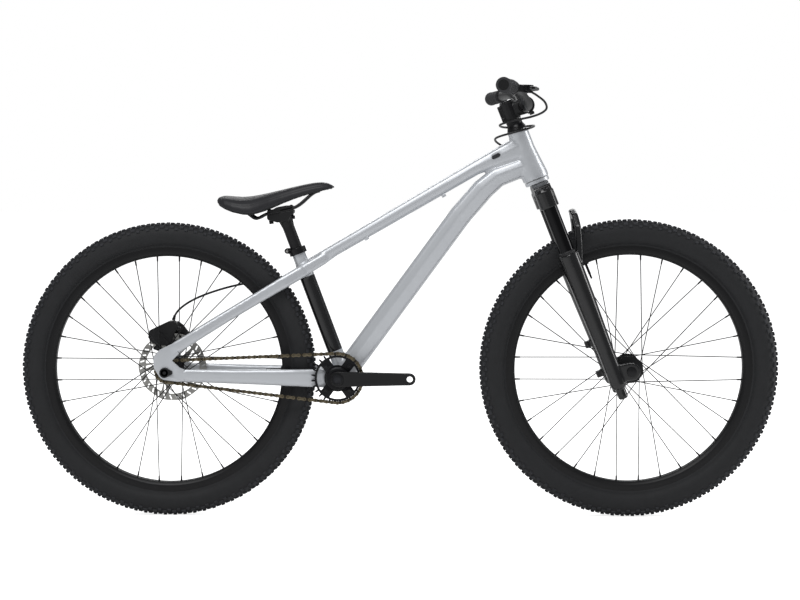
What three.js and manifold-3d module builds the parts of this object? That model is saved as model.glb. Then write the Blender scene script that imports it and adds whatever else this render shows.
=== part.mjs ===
// Dirt jump bike: a single-speed hardtail with a suspension fork and a rear disc brake.
// Millimetres. +X is forward, +Y is the bike's left side, +Z is up. The origin lies on the ground,
// midway between the tyres' outermost points.
import * as THREE from "three";
import { mergeVertices } from "three/addons/utils/BufferGeometryUtils.js";
import Module from "manifold-3d";

const wasm = await Module();
wasm.setup();

// Wheels
const rimOuterRadius = 284;
const rimDepth = 22;
const rimInnerRadius = rimOuterRadius - rimDepth;
const rearTyreDepth = 55;
const frontTyreDepth = 59;
const rearTyreRadius = rimOuterRadius + rearTyreDepth;
const frontTyreRadius = rimOuterRadius + frontTyreDepth;
const betweenTyres = 378;
const wheelbase = rearTyreRadius + betweenTyres + frontTyreRadius;
const rearTyreWidth = 57;
const frontTyreWidth = 61;
const knobHeight = 4;
const tyreWall = 2.5;
const rimWidth = 31;
const rimWall = 2;
const spokeCount = 32;
const spokeRadius = 0.95;
const wheelSides = 28;
const frontHubSpacing = 100;
const rearHubSpacing = 135;
const frontAxleRadius = 7.5;
const rearAxleRadius = 5;

// Chain drive. The link count and the teeth set the distance between the axle and the cranks.
const chainPitch = 12.7;
const ringTeeth = 28;
const cogTeeth = 12;
const tyreToBracket = 54;
const chainLinks = 2 * Math.ceil((rearTyreRadius + tyreToBracket) / chainPitch) + (ringTeeth + cogTeeth) / 2;
const chainLine = 49;
const rollerRadius = 3.9;
const chainWidth = 7.4;
const sprocketThickness = 2.2;

// Cranks and bottom bracket
const crankLength = 165;
const crankPinBore = 7.15;
const crankBossRadius = 17;
const crankEndRadius = 13.5;
const crankThickness = 15;
const crankTaper = 2.5;
const crankInnerFace = 62;
const spindleRadius = 14.5;
const spindleBore = 10.5;
const shellRadius = 22.5;
const shellWidth = 73;
const cupWidth = 9;

// Frame
const bracketDrop = 15;
const headAngle = 68.5;
const headTubeLength = 120;
const headTubeLowerRadius = 30.5;
const headTubeUpperRadius = 24;
const seatTubeAngle = 69.5;
const seatTubeTop = 316;
const seatTubeRadius = 17.5;
const seatTubeNeck = 15.8;
const seatTubeLead = 14;
const dropoutThickness = 8;

// Fork
const forkOffset = 40;
const tyreToHeadTube = 139;
const axleToHeadTube = frontTyreRadius + tyreToHeadTube;
const forkTravel = 100;
const legSpread = 65;
const legLead = 2;
const stanchionRadius = 17;
const lowerTopRadius = 23.5;
const lowerFootRadius = 19;
const steererLowerRadius = 19.7;
const steererUpperRadius = 14.3;

// Cockpit
const stemRise = 47;
const stemReach = 37;
const barWidth = 760;
const barRise = 51;
const barSweep = 49;
const barClampRadius = 15.9;
const barEndRadius = 11.1;
const gripRadius = 16.5;
const gripLength = 132;

// Saddle and post
const postRadius = 13.6;
const postInsertion = 137;
const postTravel = 50;
const postExposed = 81;
const saddleLength = 268;
const saddleWidth = 134;
const saddleTilt = 8.5;

// Rear brake
const rotorRadius = 80;
const rotorThickness = 1.8;
const rotorPlane = 52;
const padTravel = 0.4;

// Fits. A piece that rests on or in another keeps the seat gap.
const seatGap = 0.3;
const overrun = 2;
const weldDistance = 1e-4;

const DEG = Math.PI / 180;
const V = (x, y, z) => new THREE.Vector3(x, y, z);
const mix = (a, b, share) => a + (b - a) * share;

// A closed geometry as a solid that can be joined to and cut by others.
function solid(geometry) {
  const bare = new THREE.BufferGeometry();
  bare.setAttribute("position", geometry.getAttribute("position"));
  if (geometry.index) bare.setIndex(geometry.index);
  const merged = mergeVertices(bare, weldDistance);
  const corners = merged.index.array;
  const kept = [];
  for (let i = 0; i < corners.length; i += 3) {
    const [a, b, c] = [corners[i], corners[i + 1], corners[i + 2]];
    if (a !== b && b !== c && c !== a) kept.push(a, b, c);
  }
  const vertProperties = new Float32Array(merged.getAttribute("position").array);
  const build = (list) => new wasm.Manifold(
    new wasm.Mesh({ numProp: 3, vertProperties, triVerts: new Uint32Array(list) }),
  );
  const made = build(kept);
  if (made.volume() > 0) return made;
  return build(kept.reverse());
}

const join = (first, ...rest) => rest.reduce((sum, next) => sum.add(next), first);
const cut = (first, ...rest) => rest.reduce((left, next) => left.subtract(next), first);

// A solid as a named mesh.
function piece(name, body, material) {
  const made = body.getMesh();
  const geometry = new THREE.BufferGeometry();
  geometry.setAttribute("position", new THREE.BufferAttribute(new Float32Array(made.vertProperties), 3));
  geometry.setIndex(new THREE.BufferAttribute(new Uint32Array(made.triVerts), 1));
  geometry.computeVertexNormals();
  const mesh = new THREE.Mesh(geometry, material);
  mesh.name = name;
  return mesh;
}

// A revolved solid about the Y axis, from [radius, y] points.
const turned = (points, sides) =>
  solid(new THREE.LatheGeometry(points.map(([r, y]) => new THREE.Vector2(r, y)), sides));

// The same about the Z axis, from [radius, z] points.
function turnedUp(points, sides, at = V(0, 0, 0)) {
  const shape = new THREE.LatheGeometry(points.map(([r, z]) => new THREE.Vector2(r, z)), sides);
  shape.rotateX(Math.PI / 2);
  return solid(shape.translate(at.x, at.y, at.z));
}

// A ring about the Y axis.
const ring = (inner, outer, low, high, sides) =>
  turned([[inner, low], [outer, low], [outer, high], [inner, high], [inner, low]], sides);

// A ring about the Z axis.
const ringUp = (inner, outer, low, high, sides, at) =>
  turnedUp([[inner, low], [outer, low], [outer, high], [inner, high], [inner, low]], sides, at);

// A round bar or cone from one point to another.
function bar(from, to, radius, sides, endRadius = radius) {
  const length = from.distanceTo(to);
  const shape = new THREE.CylinderGeometry(endRadius, radius, length, sides);
  shape.translate(0, length / 2, 0);
  const along = to.clone().sub(from).normalize();
  shape.applyQuaternion(new THREE.Quaternion().setFromUnitVectors(V(0, 1, 0), along));
  return solid(shape.translate(from.x, from.y, from.z));
}

// A plate: an outline of [x, z] points that runs from one y to another.
function plate(points, lowY, highY) {
  const outline = new THREE.Shape(points.map(([x, z]) => new THREE.Vector2(x, z)));
  const shape = new THREE.ExtrudeGeometry(outline, { depth: highY - lowY, bevelEnabled: false });
  shape.rotateX(Math.PI / 2);
  return solid(shape.translate(0, highY, 0));
}

// A block between two corners.
function block(low, high) {
  const size = high.clone().sub(low);
  const middle = low.clone().add(high).multiplyScalar(0.5);
  return solid(new THREE.BoxGeometry(size.x, size.y, size.z).translate(middle.x, middle.y, middle.z));
}

// Points of an arc round [x, z].
function arc([x, z], radius, fromDeg, toDeg, steps) {
  return Array.from({ length: steps + 1 }, (_, i) => {
    const angle = mix(fromDeg, toDeg, i / steps) * DEG;
    return [x + radius * Math.cos(angle), z + radius * Math.sin(angle)];
  });
}

// The outline of a belt round two circles, each given as [x, z, radius].
function strap([ax, az, ar], [bx, bz, br], steps) {
  const heading = Math.atan2(bz - az, bx - ax) / DEG;
  const lean = Math.acos((ar - br) / Math.hypot(bx - ax, bz - az)) / DEG;
  return [
    ...arc([ax, az], ar, heading + lean, heading - lean + 360, steps),
    ...arc([bx, bz], br, heading - lean, heading + lean, steps),
  ];
}

// A loft through stations. Each has a centre and the two half-size vectors of its section.
function loft(stations, outline, closed = false) {
  const places = [];
  const faces = [];
  const count = outline.length;
  for (const { centre, across, up } of stations) {
    for (const [a, b] of outline) {
      places.push(...centre.clone().addScaledVector(across, a).addScaledVector(up, b));
    }
  }
  const spans = closed ? stations.length : stations.length - 1;
  for (let i = 0; i < spans; i++) {
    const next = (i + 1) % stations.length;
    for (let j = 0; j < count; j++) {
      const k = (j + 1) % count;
      faces.push(i * count + j, i * count + k, next * count + k);
      faces.push(i * count + j, next * count + k, next * count + j);
    }
  }
  const last = (stations.length - 1) * count;
  for (let j = 1; !closed && j < count - 1; j++) {
    faces.push(0, j + 1, j);
    faces.push(last, last + j, last + j + 1);
  }
  const geometry = new THREE.BufferGeometry();
  geometry.setAttribute("position", new THREE.BufferAttribute(new Float32Array(places), 3));
  geometry.setIndex(faces);
  return solid(geometry);
}

// A unit circle for lofts.
const roundSection = (sides) =>
  Array.from({ length: sides }, (_, i) => [
    Math.cos((2 * Math.PI * i) / sides),
    Math.sin((2 * Math.PI * i) / sides),
  ]);

// The half of a section at or right of its middle, mirrored to the left.
const mirrored = (half) => [...half, ...half.slice().reverse().map(([a, b]) => [-a, b])];

// A hose or rod of one radius through a list of points.
function hose(points, radius, steps, sides) {
  const outline = new THREE.Shape(
    roundSection(sides).map(([a, b]) => new THREE.Vector2(a * radius, b * radius)),
  );
  const curve = new THREE.CatmullRomCurve3(points.map(([x, y, z]) => V(x, y, z)));
  const shape = new THREE.ExtrudeGeometry(outline, { steps, extrudePath: curve, bevelEnabled: false });
  return solid(shape);
}

const paint = (color, roughness, metalness) =>
  new THREE.MeshStandardMaterial({ color, roughness, metalness });
const silver = paint(0xc3c6c8, 0.38, 0.7);
const blackMetal = paint(0x1b1c1e, 0.4, 0.6);
const blackPlastic = paint(0x1a1a1b, 0.6, 0);
const blackRubber = paint(0x1d1d1e, 0.85, 0);
const stanchionBlack = paint(0x101113, 0.15, 0.8);
const steel = paint(0xb4b6b8, 0.3, 1);
const chainSteel = paint(0x80705c, 0.4, 1);
const saddleSkin = paint(0x17171a, 0.7, 0);

// Places that the rest is set out from
const halfLength = (wheelbase + rearTyreRadius + frontTyreRadius) / 2;
const rearAxle = V(rearTyreRadius - halfLength, 0, rearTyreRadius);
const frontAxle = V(halfLength - frontTyreRadius, 0, frontTyreRadius);
const straightLinks = chainLinks - (ringTeeth + cogTeeth) / 2;
const teethShare = ((ringTeeth - cogTeeth) / Math.PI) ** 2;
const stayLength = (chainPitch / 4) * (straightLinks + Math.sqrt(straightLinks ** 2 - 2 * teethShare));
const bracket = V(rearAxle.x + Math.sqrt(stayLength ** 2 - bracketDrop ** 2), 0, rearAxle.z - bracketDrop);
const steerTilt = (headAngle - 90) * DEG;
const steerUp = V(Math.sin(steerTilt), 0, Math.cos(steerTilt));
const steerFront = V(Math.cos(steerTilt), 0, -Math.sin(steerTilt));
const headFoot = frontAxle.clone().addScaledVector(steerFront, -forkOffset).addScaledVector(steerUp,
  axleToHeadTube);

const bike = new THREE.Group();

// A group that stands at a place and leans about Y.
function stand(at, lean = 0) {
  const group = new THREE.Group();
  group.position.copy(at);
  group.rotation.y = lean;
  bike.add(group);
  return group;
}

// An outline of [y, z] points that runs from one x to another.
const sideways = new THREE.Matrix4().makeBasis(V(0, 1, 0), V(0, 0, 1), V(1, 0, 0));
function crossPlate(points, lowX, highX) {
  const outline = new THREE.Shape(points.map(([y, z]) => new THREE.Vector2(y, z)));
  const shape = new THREE.ExtrudeGeometry(outline, { depth: highX - lowX, bevelEnabled: false });
  return solid(shape.applyMatrix4(sideways).translate(lowX, 0, 0));
}

// Wheels. Each is built round the Y axis and then stood at its axle.
const beadWidth = rimWidth - 2 * rimWall - 2 * seatGap;
const rimShoulder = 7;
const rimFlatShare = 0.6;
const rimBed = rimInnerRadius + rimShoulder + rimWall / 2;
const beadRadius = rimBed + rimWall;
const treadShare = 0.42;
const flip = (list) => list.map(([r, y]) => [r, -y]).reverse();

// A ring of sections round the Y axis, each a list of [radius, y] points that faces its own way.
function ringOf(sections) {
  const stations = sections.map((section, i) => ({ section, angle: (2 * Math.PI * i) / sections.length }));
  const places = stations.flatMap(({ section, angle }) =>
    section.flatMap(([r, y]) => [r * Math.sin(angle), y, r * Math.cos(angle)]));
  const count = sections[0].length;
  const faces = stations.flatMap((_, i) => sections[i].flatMap((__, j) => {
    const [k, next] = [(j + 1) % count, ((i + 1) % sections.length) * count];
    return [i * count + j, i * count + k, next + k, i * count + j, next + k, next + j];
  }));
  const geometry = new THREE.BufferGeometry();
  geometry.setAttribute("position", new THREE.BufferAttribute(new Float32Array(places), 3));
  geometry.setIndex(faces);
  return solid(geometry);
}

// A tyre: a moulded casing open at its beads, with lugs that rise and fall round its tread.
function tyre(radius, width) {
  const root = radius - knobHeight;
  const height = root - rimOuterRadius;
  const half = width / 2;
  const wide = [rimOuterRadius + height / 2, half];
  const outside = (crown, edge) => [[beadRadius, beadWidth / 2], [rimOuterRadius + seatGap, beadWidth / 2],
    wide,
    [edge, half * 0.9], [crown, half * treadShare]];
  const inside = [[root - tyreWall - seatGap, half * treadShare], [beadRadius, beadWidth / 2 - tyreWall]];
  const section = (out) => [...out, ...flip(out), ...inside.slice().reverse().map(([r, y]) => [r, -y]),
    ...inside];
  const lug = section(outside(radius, radius - 2 * knobHeight));
  const groove = section(outside(root, radius - 3.6 * knobHeight));
  return ringOf(Array.from({ length: 2 * wheelSides }, (_, i) => (i % 2 ? groove : lug)));
}

function rim(valveTurn) {
  const half = rimWidth / 2;
  const well = half - rimWall;
  const flat = half * rimFlatShare;
  const shoulder = rimInnerRadius + rimShoulder;
  const profile = [[rimInnerRadius, -flat], [rimInnerRadius, flat], [shoulder, half], [rimOuterRadius, half],
    [rimOuterRadius, well], [rimBed, well], [rimBed, -well], [rimOuterRadius, -well], [rimOuterRadius, -half],
    [shoulder, -half]];
  return cut(turned([...profile, profile[0]], wheelSides), valve(valveRadius + seatGap, valveTurn,
    rimOuterRadius));
}

// A hub shell with its flanges, bored for the axle and laced three-cross to the rim.
const hubShellRadius = 14;
const flangeThickness = 4.6;
const flangeCrosses = 3;
const spokeOffset = 1.35;
function lacedHub({ flangeRadius, flangePlanes, capRadius, rightFace, halfWidth, bore }) {
  const [right, left] = flangePlanes;
  const edge = flangeThickness / 2;
  const shell = turned([[bore, -rightFace], [capRadius, -rightFace], [capRadius, -right - 2 * edge],
    [flangeRadius, -right - edge], [flangeRadius, -right + edge], [hubShellRadius, -right + 4 * edge],
    [hubShellRadius, left - 4 * edge], [flangeRadius, left - edge], [flangeRadius, left + edge],
    [capRadius, left + 4 * edge], [capRadius, halfWidth], [bore, halfWidth], [bore, -rightFace]], 16);
  const tip = rimInnerRadius * Math.cos(Math.PI / wheelSides) - seatGap;
  const hole = flangeRadius - spokeRadius;
  const step = 360 / spokeCount;
  const spokes = Array.from({ length: spokeCount }, (_, i) => {
    const plane = i % 2 ? left : -right;
    const trailing = i % 4 < 2 ? 1 : -1;
    const rimTurn = (i + 1 / 2) * step * DEG;
    const hubTurn = rimTurn + trailing * flangeCrosses * 2 * step * DEG;
    const lean = trailing * spokeOffset;
    const from = V(Math.sin(hubTurn) * hole, plane + lean, Math.cos(hubTurn) * hole);
    const to = V(Math.sin(rimTurn) * tip, Math.sign(plane) * rimWall + lean / 2, Math.cos(rimTurn) * tip);
    return bar(from, to, spokeRadius, 3);
  });
  return join(shell, ...spokes);
}

// An inner tube inside the tyre, on the rim bed, with its valve out through the rim.
const valveRadius = 3;
const valveLength = 38;
function innerTube(radius, valveTurn) {
  const crown = radius - knobHeight - tyreWall - 2 * seatGap;
  const base = rimBed + seatGap;
  const neck = beadWidth / 2 - tyreWall - overrun;
  const section = [[base, neck], [crown, neck], [crown, -neck], [base, -neck]];
  return join(turned([...section, section[0]], wheelSides), valve(valveRadius, valveTurn, base + overrun));
}

function valve(radius, turn, top) {
  const way = V(Math.sin(turn * DEG), 0, Math.cos(turn * DEG));
  return bar(way.clone().multiplyScalar(rimInnerRadius - valveLength), way.clone().multiplyScalar(top),
    radius, 8);
}

const frontWheel = stand(frontAxle);
const rearWheel = stand(rearAxle);
const frontHub = { flangeRadius: 31, flangePlanes: [29, 29], capRadius: 12,
  rightFace: frontHubSpacing / 2 - seatGap, halfWidth: frontHubSpacing / 2 - seatGap,
  bore: frontAxleRadius + seatGap };
const rearHub = { flangeRadius: 29, flangePlanes: [30, 33], capRadius: 16, rightFace: 38,
  halfWidth: rearHubSpacing / 2 - seatGap, bore: rearAxleRadius + seatGap };
const frontValveTurn = -22.5;
const rearValveTurn = 90;
for (const [prefix, group, radius, width, hub, valveTurn] of [
  ["front", frontWheel, frontTyreRadius, frontTyreWidth, frontHub, frontValveTurn],
  ["rear", rearWheel, rearTyreRadius, rearTyreWidth, rearHub, rearValveTurn],
]) {
  group.add(piece(`${prefix}_tyre`, tyre(radius, width), blackRubber));
  group.add(piece(`${prefix}_inner_tube`, innerTube(radius, valveTurn), blackRubber));
  group.add(piece(`${prefix}_rim`, rim(valveTurn), blackMetal));
  group.add(piece(`${prefix}_hub_and_spokes`, lacedHub(hub), blackMetal));
}

// Chain drive. The pins lie at even steps on the loop round the two pitch circles.
const pitchRadius = (teeth) => chainPitch / (2 * Math.sin(Math.PI / teeth));
const ringRadius = pitchRadius(ringTeeth);
const cogRadius = pitchRadius(cogTeeth);
const driveLean = Math.asin((ringRadius - cogRadius) / stayLength);
const driveHeading = Math.atan2(bracket.z - rearAxle.z, bracket.x - rearAxle.x);
const spanLength = Math.sqrt(stayLength ** 2 - (ringRadius - cogRadius) ** 2);
const cogWrap = Math.PI - 2 * driveLean;
const ringWrap = Math.PI + 2 * driveLean;
const loopLength = 2 * spanLength + cogWrap * cogRadius + ringWrap * ringRadius;

// A point on the loop, and the direction out of it, for a distance from the start of the upper run.
function onLoop(distance) {
  let left = ((distance % loopLength) + loopLength) % loopLength;
  const upperOut = driveHeading + driveLean + Math.PI / 2;
  const lowerOut = driveHeading - driveLean - Math.PI / 2;
  const at = (centre, radius, angle) => ({
    point: V(centre.x + radius * Math.cos(angle), 0, centre.z + radius * Math.sin(angle)),
    out: V(Math.cos(angle), 0, Math.sin(angle)),
    angle,
  });
  const run = (start, end, share) => ({ point: start.point.clone().lerp(end.point, share), out: start.out });
  if (left < spanLength) {
    return run(at(rearAxle, cogRadius, upperOut), at(bracket, ringRadius, upperOut), left / spanLength);
  }
  left -= spanLength;
  if (left < ringWrap * ringRadius) return at(bracket, ringRadius, upperOut - left / ringRadius);
  left -= ringWrap * ringRadius;
  if (left < spanLength) {
    return run(at(bracket, ringRadius, lowerOut), at(rearAxle, cogRadius, lowerOut), left / spanLength);
  }
  left -= spanLength;
  return at(rearAxle, cogRadius, lowerOut - left / cogRadius);
}

const pinStep = loopLength / chainLinks;
const plateHalf = 4.1;
const waistHalf = 2.9;
const plateThickness = 1.8;
const plateY = (chainWidth - plateThickness) / 2;

function chain() {
  const strip = (y, stops) => loft(
    Array.from({ length: stops * chainLinks }, (_, i) => {
      const { point, out } = onLoop((i / stops) * pinStep);
      return {
        centre: point.clone().setY(y),
        across: V(0, plateThickness / 2, 0),
        up: out.clone().multiplyScalar(i % stops ? waistHalf : plateHalf),
      };
    }),
    [[1, 1], [-1, 1], [-1, -1], [1, -1]],
    true,
  );
  const rollers = Array.from({ length: chainLinks }, (_, i) => {
    const { point, out } = onLoop(i * pinStep);
    const roller = new THREE.CylinderGeometry(rollerRadius, rollerRadius, 2 * plateY, 3);
    roller.rotateY(Math.atan2(out.x, out.z)).translate(point.x, -chainLine, point.z);
    return solid(roller);
  });
  return join(strip(-chainLine - plateY, 2), strip(-chainLine + plateY, 1), ...rollers);
}
bike.add(piece("chain", chain(), chainSteel));

// A sprocket's outline: each tooth rises between two rollers and ends in a narrow tip.
const tipHeight = 3.6;
const toothHalf = chainPitch / 2 - rollerRadius - seatGap;
const tipHalf = 0.9;
function sprocketOutline(teeth, phase) {
  const radius = pitchRadius(teeth);
  const root = radius - rollerRadius - seatGap;
  const points = [];
  for (let i = 0; i < teeth; i++) {
    const middle = phase + ((i + 1 / 2) * 2 * Math.PI) / teeth;
    const at = (r, half) => [r * Math.cos(middle + half / r), r * Math.sin(middle + half / r)];
    points.push(at(root, -toothHalf), at(radius + tipHeight, -tipHalf));
    points.push(at(radius + tipHeight, tipHalf), at(root, toothHalf));
  }
  return points;
}

// The angle of a pin that lies halfway round a sprocket's wrap, which a gap between teeth must meet.
function pinAngle(wrapMiddle) {
  const pin = Math.round(wrapMiddle / pinStep) * pinStep;
  return onLoop(pin).angle;
}
const ringPhase = pinAngle(spanLength + (ringWrap * ringRadius) / 2);
const cogPhase = pinAngle(loopLength - (cogWrap * cogRadius) / 2);

const toothLow = -chainLine - sprocketThickness / 2;
const toothHigh = -chainLine + sprocketThickness / 2;

// The chainring: a toothed plate with a hub that the crank spindle carries, and windows between its arms.
// Its four arms stand in two pairs, so that the windows above and below are narrower than those ahead and behind.
const ringHubRadius = 27;
const ringRimInner = 48;
const windowFloor = 3;
const windowShare = 0.74;
const ringWindows = [[0, 38], [90, 25], [180, 38], [270, 25]];
function chainring() {
  const windows = ringWindows.map(([middle, half]) => {
    const outer = arc([0, 0], ringRimInner, middle - half, middle + half, 4);
    const inner = arc([0, 0], ringHubRadius + windowFloor, middle + half * windowShare,
      middle - half * windowShare, 2);
    return plate([...outer, ...inner], toothLow - overrun, toothHigh + overrun);
  });
  const disc = plate(sprocketOutline(ringTeeth, ringPhase), toothLow, toothHigh);
  const bossLow = -crankInnerFace + seatGap;
  const boss = turned([[0, bossLow], [ringHubRadius, bossLow], [ringHubRadius, toothHigh], [0, toothHigh]],
    20);
  const hole = turned([[0, bossLow - overrun], [spindleRadius + seatGap, bossLow - overrun],
    [spindleRadius + seatGap, toothHigh + overrun], [0, toothHigh + overrun]], 20);
  return cut(join(disc, boss), hole, ...windows);
}

// The rear cog on its driver, bored to run on the axle beside the hub.
const driverRadius = 14;
function cog() {
  const disc = plate(sprocketOutline(cogTeeth, cogPhase), toothLow, toothHigh);
  const low = -rearHubSpacing / 2 + seatGap;
  const high = -rearHub.rightFace - seatGap;
  const driver = turned([[0, low], [driverRadius, low], [driverRadius, high], [0, high]], 20);
  const bore = turned([[0, low - overrun], [rearAxleRadius + seatGap, low - overrun],
    [rearAxleRadius + seatGap, high + overrun], [0, high + overrun]], 24);
  return cut(join(disc, driver), bore);
}

const cranks = stand(bracket);
const spindleEnd = crankInnerFace + crankThickness;
const spindle = ring(spindleBore, spindleRadius, -spindleEnd, spindleEnd, 20);
cranks.add(piece("chainring", chainring(), blackMetal));

// A crank arm: a waisted forging with a boss on the spindle and an eye for the pedal.
function crankArm(side) {
  const reach = side * -crankLength;
  const [low, high] = side > 0 ? [crankInnerFace, spindleEnd] : [-spindleEnd, -crankInnerFace];
  const outline = strap([0, 0, crankBossRadius], [reach, 0, crankEndRadius], 8);
  const hole = (radius, x) => bar(V(x, low - overrun, 0), V(x, high + overrun, 0), radius, 20);
  const outer = side > 0 ? high : low;
  const eyeFace = outer - side * crankTaper;
  const [start, flat, past] = [0.14 * reach, 0.88 * reach, 1.2 * reach];
  const trim = plate([[start, -outer], [flat, -eyeFace], [past, -eyeFace], [past, -outer - side * overrun],
    [start, -outer - side * overrun]], -crankBossRadius - overrun, crankBossRadius + overrun).rotate([90, 0,
      0]);
  return cut(plate(outline, low, high), trim, hole(spindleRadius + seatGap, 0), hole(crankPinBore, reach));
}
const leftArm = join(crankArm(1), spindle, ring(spindleRadius - 1, spindleRadius + 1, crankInnerFace,
  spindleEnd, 20));
cranks.add(piece("crank_right", crankArm(-1), blackMetal));
cranks.add(piece("crank_left_and_spindle", leftArm, blackMetal));
const cogStand = stand(rearAxle);
cogStand.add(piece("drive_cog", cog(), steel));

// Frame tubes. Each is set out from its foot to its head, with shares of that length for its bow and
// real sizes for its section, and is cut back from the tubes that it meets.
function tubeStations(foot, head, shares, [depth, width], grow) {
  const run = head.clone().sub(foot);
  const length = run.length();
  const rise = V(-run.z, 0, run.x).normalize();
  const centres = shares.map(([along, bow]) =>
    foot.clone().addScaledVector(run, along).addScaledVector(rise, bow * length));
  return shares.map(([, , deep, wide, outward = 0], i) => {
    const ahead = centres[Math.min(i + 1, centres.length - 1)];
    const behind = centres[Math.max(i - 1, 0)];
    const tangent = ahead.clone().sub(behind).normalize();
    return {
      centre: centres[i].clone().setY(outward),
      across: V(0, (width * wide) / 2 + grow, 0),
      up: V(-tangent.z, 0, tangent.x).multiplyScalar((depth * deep) / 2 + grow),
    };
  });
}

// Head tube: tapered, bored for the steerer, with a seat for a bearing at each end.
const headStand = stand(headFoot, steerTilt);
const headSides = 20;
const bearingDepth = 8;
const lowerSeat = headTubeLowerRadius - 4;
const upperSeat = headTubeUpperRadius - 3;
const headOutline = [[headTubeLowerRadius, 0], [headTubeLowerRadius, headTubeLength * 0.1],
  [headTubeUpperRadius, headTubeLength * 0.62], [headTubeUpperRadius, headTubeLength]];
const headBore = [[upperSeat, headTubeLength], [upperSeat, headTubeLength - bearingDepth],
  [steererUpperRadius + overrun, headTubeLength - bearingDepth], [steererUpperRadius + overrun,
    headTubeLength / 2],
  [steererLowerRadius + overrun, headTubeLength / 3], [steererLowerRadius + overrun, bearingDepth],
  [lowerSeat, bearingDepth], [lowerSeat, 0]];
headStand.add(piece("head_tube", turnedUp([...headOutline, ...headBore, headOutline[0]], headSides), silver));
headStand.updateMatrixWorld(true);
function headCutter(grow) {
  const tall = headTubeLength + grow;
  const points = [[0, -grow], ...headOutline.map(([r, z]) => [r + grow, z > 0 ? z : -grow]), [0, tall]];
  points[points.length - 2][1] = tall;
  const shape = new THREE.LatheGeometry(points.map(([r, z]) => new THREE.Vector2(r, z)), headSides);
  return solid(shape.rotateX(Math.PI / 2).applyMatrix4(headStand.matrixWorld));
}
const onSteerer = (up, ahead = 0) =>
  headFoot.clone().addScaledVector(steerUp, up).addScaledVector(steerFront, ahead);

// Bottom bracket shell, with the yoke that carries the chainstays behind it.
const yokeReach = 47;
const yokeHalf = 27;
const yokeTop = 19.5;
const yokeFloor = -24;
const bracketSides = 24;
function shellSolid(grow) {
  const half = shellWidth / 2 + grow;
  const tube = turned([[0, -half], [shellRadius + grow, -half], [shellRadius + grow, half], [0, half]],
    bracketSides);
  return tube.translate([bracket.x, 0, bracket.z]);
}
function yokeSolid(grow) {
  const [x, z] = [bracket.x, bracket.z];
  return plate([[x, z + yokeTop + grow], [x - yokeReach - grow, z + yokeTop + grow],
    [x - yokeReach - grow, z + yokeFloor - grow], [x, z + yokeFloor - grow]], -yokeHalf - grow,
      yokeHalf + grow);
}
const shellBore = turned([[0, -shellWidth], [spindleRadius + overrun, -shellWidth],
  [spindleRadius + overrun, shellWidth], [0, shellWidth]], bracketSides).translate([bracket.x, 0, bracket.z]);
bike.add(piece("bottom_bracket_shell", cut(join(shellSolid(0), yokeSolid(0)), shellBore), silver));

// Down tube: a deep six-sided section with a crease down each flank, curved up into the head tube.
const downDepth = 50.7;
const downWidth = 50;
const downShares = [[0, 0, 1, 0.9], [0.35, 0.033, 1, 1], [0.7066, 0.0662, 1, 1], [0.827, 0.0679, 0.98, 1],
  [0.893, 0.058, 0.91, 0.98], [0.954, 0.0254, 0.85, 0.95], [1, 0, 0.83, 0.94]];
const downSection = mirrored([[0.3, -1], [0.72, -0.8], [1, 0.12], [0.8, 0.78], [0.4, 1]]);
const downHeadShare = 0.3;
const downFoot = bracket.clone().add(V(5.7, 0, -4.2));
const downHead = onSteerer(headTubeLength * downHeadShare);
const downSolid = (grow) => loft(tubeStations(downFoot, downHead, downShares, [downDepth, downWidth], grow),
  downSection);

// Seat tube: straight, bored from the top for the post.
const seatWay = V(-Math.cos(seatTubeAngle * DEG), 0, Math.sin(seatTubeAngle * DEG));
const seatFoot = bracket.clone().add(V(seatTubeLead, 0, 0));
const onSeatTube = (up) => seatFoot.clone().addScaledVector(seatWay, up);
const collarHeight = 15;
const neckHeight = 40;
function seatTubeSolid(grow) {
  const body = bar(onSeatTube(0), onSeatTube(seatTubeTop - neckHeight), seatTubeRadius + grow, 20);
  return join(body, bar(onSeatTube(1), onSeatTube(seatTubeTop), seatTubeNeck + grow, 20));
}
const postBore = bar(onSeatTube(seatTubeTop - postInsertion - postTravel - 5),
  onSeatTube(seatTubeTop + overrun),
  postRadius + seatGap, 20);

// Top tube: slim behind, bevelled along its top, and deep where it runs into the head tube.
const topDepth = 26;
const topWidth = 38;
const topShares = [[0, 0, 1, 0.78], [0.395, 0.009, 1.13, 0.9], [0.793, 0.019, 1.22, 1], [0.841, 0.0156,
  1.42, 1.04],
  [0.915, 0.0087, 1.8, 1.1], [0.966, 0.004, 2.08, 1.14], [1, 0, 2.14, 1.16]];
const topSection = mirrored([[0.5, -1], [0.95, -0.55], [1, 0.2], [0.78, 0.82], [0.4, 1]]);
const topFootDrop = 49;
const topFootHeight = seatTubeTop - topFootDrop;
const topHeadShare = 0.667;
const topFoot = onSeatTube(topFootHeight);
const topHead = onSteerer(headTubeLength * topHeadShare);
const topSolid = (grow) => loft(tubeStations(topFoot, topHead, topShares, [topDepth, topWidth], grow),
  topSection);

bike.add(piece("down_tube", cut(downSolid(0), shellSolid(seatGap), yokeSolid(seatGap), headCutter(seatGap)),
  silver));
bike.add(piece("seat_tube", cut(seatTubeSolid(0), shellSolid(seatGap), yokeSolid(seatGap),
  downSolid(seatGap), postBore),
  silver));
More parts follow.
